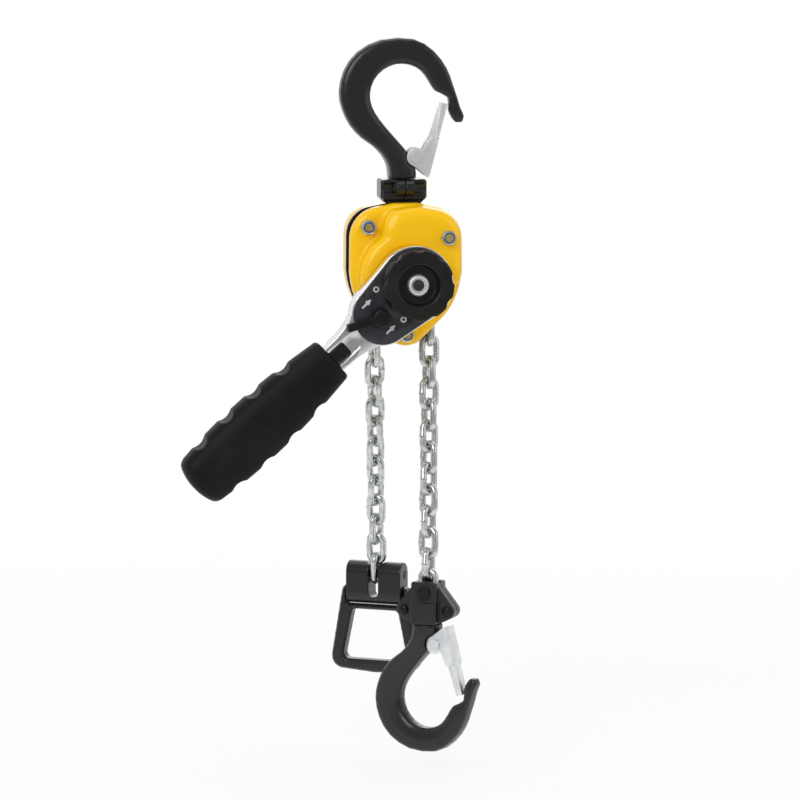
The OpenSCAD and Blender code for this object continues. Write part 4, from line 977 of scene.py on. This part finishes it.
@dataclass
class Studio:
    """Pale floor, soft lamps and the camera.

    Lengths are in mm and angles in degrees. front is the level of the surroundings that reflections see on
    the camera's side, and they rise to white over the span of directions in backdrop. The floor fades out
    over the span in fade, from the frame's origin and in metres.
    """

    target: tuple[float, float, float] = (-1.0, 0.0, -178.9)
    azimuth: float = -10.0
    elevation: float = 6.7
    distance: float = 3000.0
    width: float = 470.6
    floor_gap: float = 12.0
    ambient: float = 0.55
    front: float = 0.34
    backdrop: tuple[float, float] = (-0.3, 0.5)
    floor_half: float = 6000.0
    floor_paint: float = 0.93
    floor_glow: float = 0.82
    fade: tuple[float, float] = (0.5, 1.1)
    sensor: float = 36.0
    far_clip: float = 100000.0
    lamps: tuple[Lamp, ...] = (
        Lamp("key", (-900.0, -1300.0, 700.0), 900.0, 12.0),
        Lamp("fill", (1300.0, -900.0, 300.0), 1100.0, 3.5),
        Lamp("top", (0.0, 100.0, 1500.0), 1200.0, 6.0),
        Lamp("rim", (500.0, 1300.0, 500.0), 900.0, 4.0))

    def build(self) -> None:
        """Sets up the floor, the light and the camera."""
        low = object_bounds()[0]
        self._floor(Vector(low).z - self.floor_gap * MM)
        self._world()
        for lamp in self.lamps:
            self._lamp(lamp)
        self._camera()
        bpy.context.scene.view_settings.view_transform = "Standard"

    def _floor(self, height: float) -> None:
        """A plain pale floor under the hoist.

        Args:
            height: its height in metres.
        """
        bm = bmesh.new()
        bmesh.ops.create_grid(bm, x_segments=2, y_segments=2, size=self.floor_half * MM)
        bmesh.ops.translate(bm, vec=(0, 0, height), verts=bm.verts)
        mesh = bpy.data.meshes.new("floor")
        bm.to_mesh(mesh)
        bm.free()
        floor = bpy.data.objects.new("floor", mesh)
        bpy.context.scene.collection.objects.link(floor)
        floor.data.materials.append(self._floor_finish())
        floor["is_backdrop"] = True

    def _floor_finish(self) -> bpy.types.Material:
        """White to the camera and in reflections, with a soft shadow, and gone far from the hoist.

        Returns:
            The floor's material.
        """
        bench = Bench("studio_floor")
        path = bench.node("LightPath", {}, output="Is Camera Ray")
        glossy = Value(bench, path.socket.node.outputs["Is Glossy Ray"])
        seen = path.maths("MAXIMUM", glossy)
        paint = bench.node("BsdfDiffuse", {}, Color=(*[self.floor_paint] * 3, 1.0))
        glow = bench.node("Emission", {}, Color=(1.0, 1.0, 1.0, 1.0), Strength=1.0)
        near = self._mix(bench, seen * self.floor_glow, paint, glow)
        far = bench.node("VectorMath", {"operation": "LENGTH"}, bench.object, output="Value")
        shader = self._mix(bench, far.rise(*self.fade), near, bench.node("BsdfTransparent", {}))
        out = bench.tree.nodes.new("ShaderNodeOutputMaterial")
        bench.tree.links.new(shader.socket, out.inputs["Surface"])
        return bench.material

    @staticmethod
    def _mix(bench: Bench, share: Value, base: Value, other: Value) -> Value:
        """Mixes two shaders.

        Args:
            bench: the material that they are in.
            share: share of the other shader.
            base: shader where the share is 0.
            other: shader where the share is 1.

        Returns:
            The mixed shader.
        """
        made = bench.node("MixShader", {}, share)
        bench.tree.links.new(base.socket, made.socket.node.inputs[1])
        bench.tree.links.new(other.socket, made.socket.node.inputs[2])
        return made

    def _world(self) -> None:
        """Grey light all round, with a white backdrop for the camera and for reflections."""
        world = bpy.data.worlds.new("studio")
        bpy.context.scene.world = world
        world.use_nodes = True
        tree = world.node_tree
        tree.nodes.clear()
        path = tree.nodes.new("ShaderNodeLightPath")
        heading = tree.nodes.new("ShaderNodeSeparateXYZ")
        tree.links.new(tree.nodes.new("ShaderNodeTexCoord").outputs["Generated"], heading.inputs[0])
        behind = tree.nodes.new("ShaderNodeMapRange")
        tree.links.new(heading.outputs["Y"], behind.inputs["Value"])
        behind.inputs["From Min"].default_value = self.backdrop[0]
        behind.inputs["From Max"].default_value = self.backdrop[1]
        behind.inputs["To Min"].default_value = self.front - self.ambient
        behind.inputs["To Max"].default_value = 1.0 - self.ambient
        shown = tree.nodes.new("ShaderNodeMath")
        shown.operation = "MULTIPLY_ADD"
        tree.links.new(path.outputs["Is Glossy Ray"], shown.inputs[0])
        tree.links.new(behind.outputs["Result"], shown.inputs[1])
        shown.inputs[2].default_value = self.ambient
        level = tree.nodes.new("ShaderNodeMath")
        level.operation = "MAXIMUM"
        tree.links.new(path.outputs["Is Camera Ray"], level.inputs[0])
        tree.links.new(shown.outputs[0], level.inputs[1])
        back = tree.nodes.new("ShaderNodeBackground")
        back.inputs["Color"].default_value = (1.0, 1.0, 1.0, 1.0)
        tree.links.new(level.outputs[0], back.inputs["Strength"])
        out = tree.nodes.new("ShaderNodeOutputWorld")
        tree.links.new(back.outputs[0], out.inputs["Surface"])

    def _lamp(self, lamp: Lamp) -> None:
        """Hangs a lamp and aims it at the hoist.

        Args:
            lamp: its place, size and power.
        """
        data = bpy.data.lights.new(lamp.name, "AREA")
        data.shape = "SQUARE"
        data.size = lamp.size * MM
        data.energy = lamp.power
        hung = bpy.data.objects.new(lamp.name, data)
        bpy.context.scene.collection.objects.link(hung)
        hung.location = Vector(lamp.place) * MM
        aim = Vector(self.target) * MM - hung.location
        hung.rotation_euler = aim.to_track_quat("-Z", "Y").to_euler()

    def _camera(self) -> None:
        """A long lens at the viewing angle."""
        data = bpy.data.cameras.new("camera")
        data.sensor_width = self.sensor
        data.lens = self.sensor * self.distance / self.width
        data.clip_end = self.far_clip * MM
        camera = bpy.data.objects.new("camera", data)
        bpy.context.scene.collection.objects.link(camera)
        az, el = math.radians(self.azimuth), math.radians(self.elevation)
        back = Vector((math.sin(az) * math.cos(el), -math.cos(az) * math.cos(el), math.sin(el)))
        camera.location = (Vector(self.target) + back * self.distance) * MM
        camera.rotation_euler = (-back).to_track_quat("-Z", "Y").to_euler()
        bpy.context.scene.camera = camera


def main() -> None:
    """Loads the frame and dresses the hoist."""
    logging.basicConfig(level=logging.INFO, format="%(name)s: %(message)s")
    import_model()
    Hoist().build()
    Studio().build()


if __name__ == "__main__":
    main()
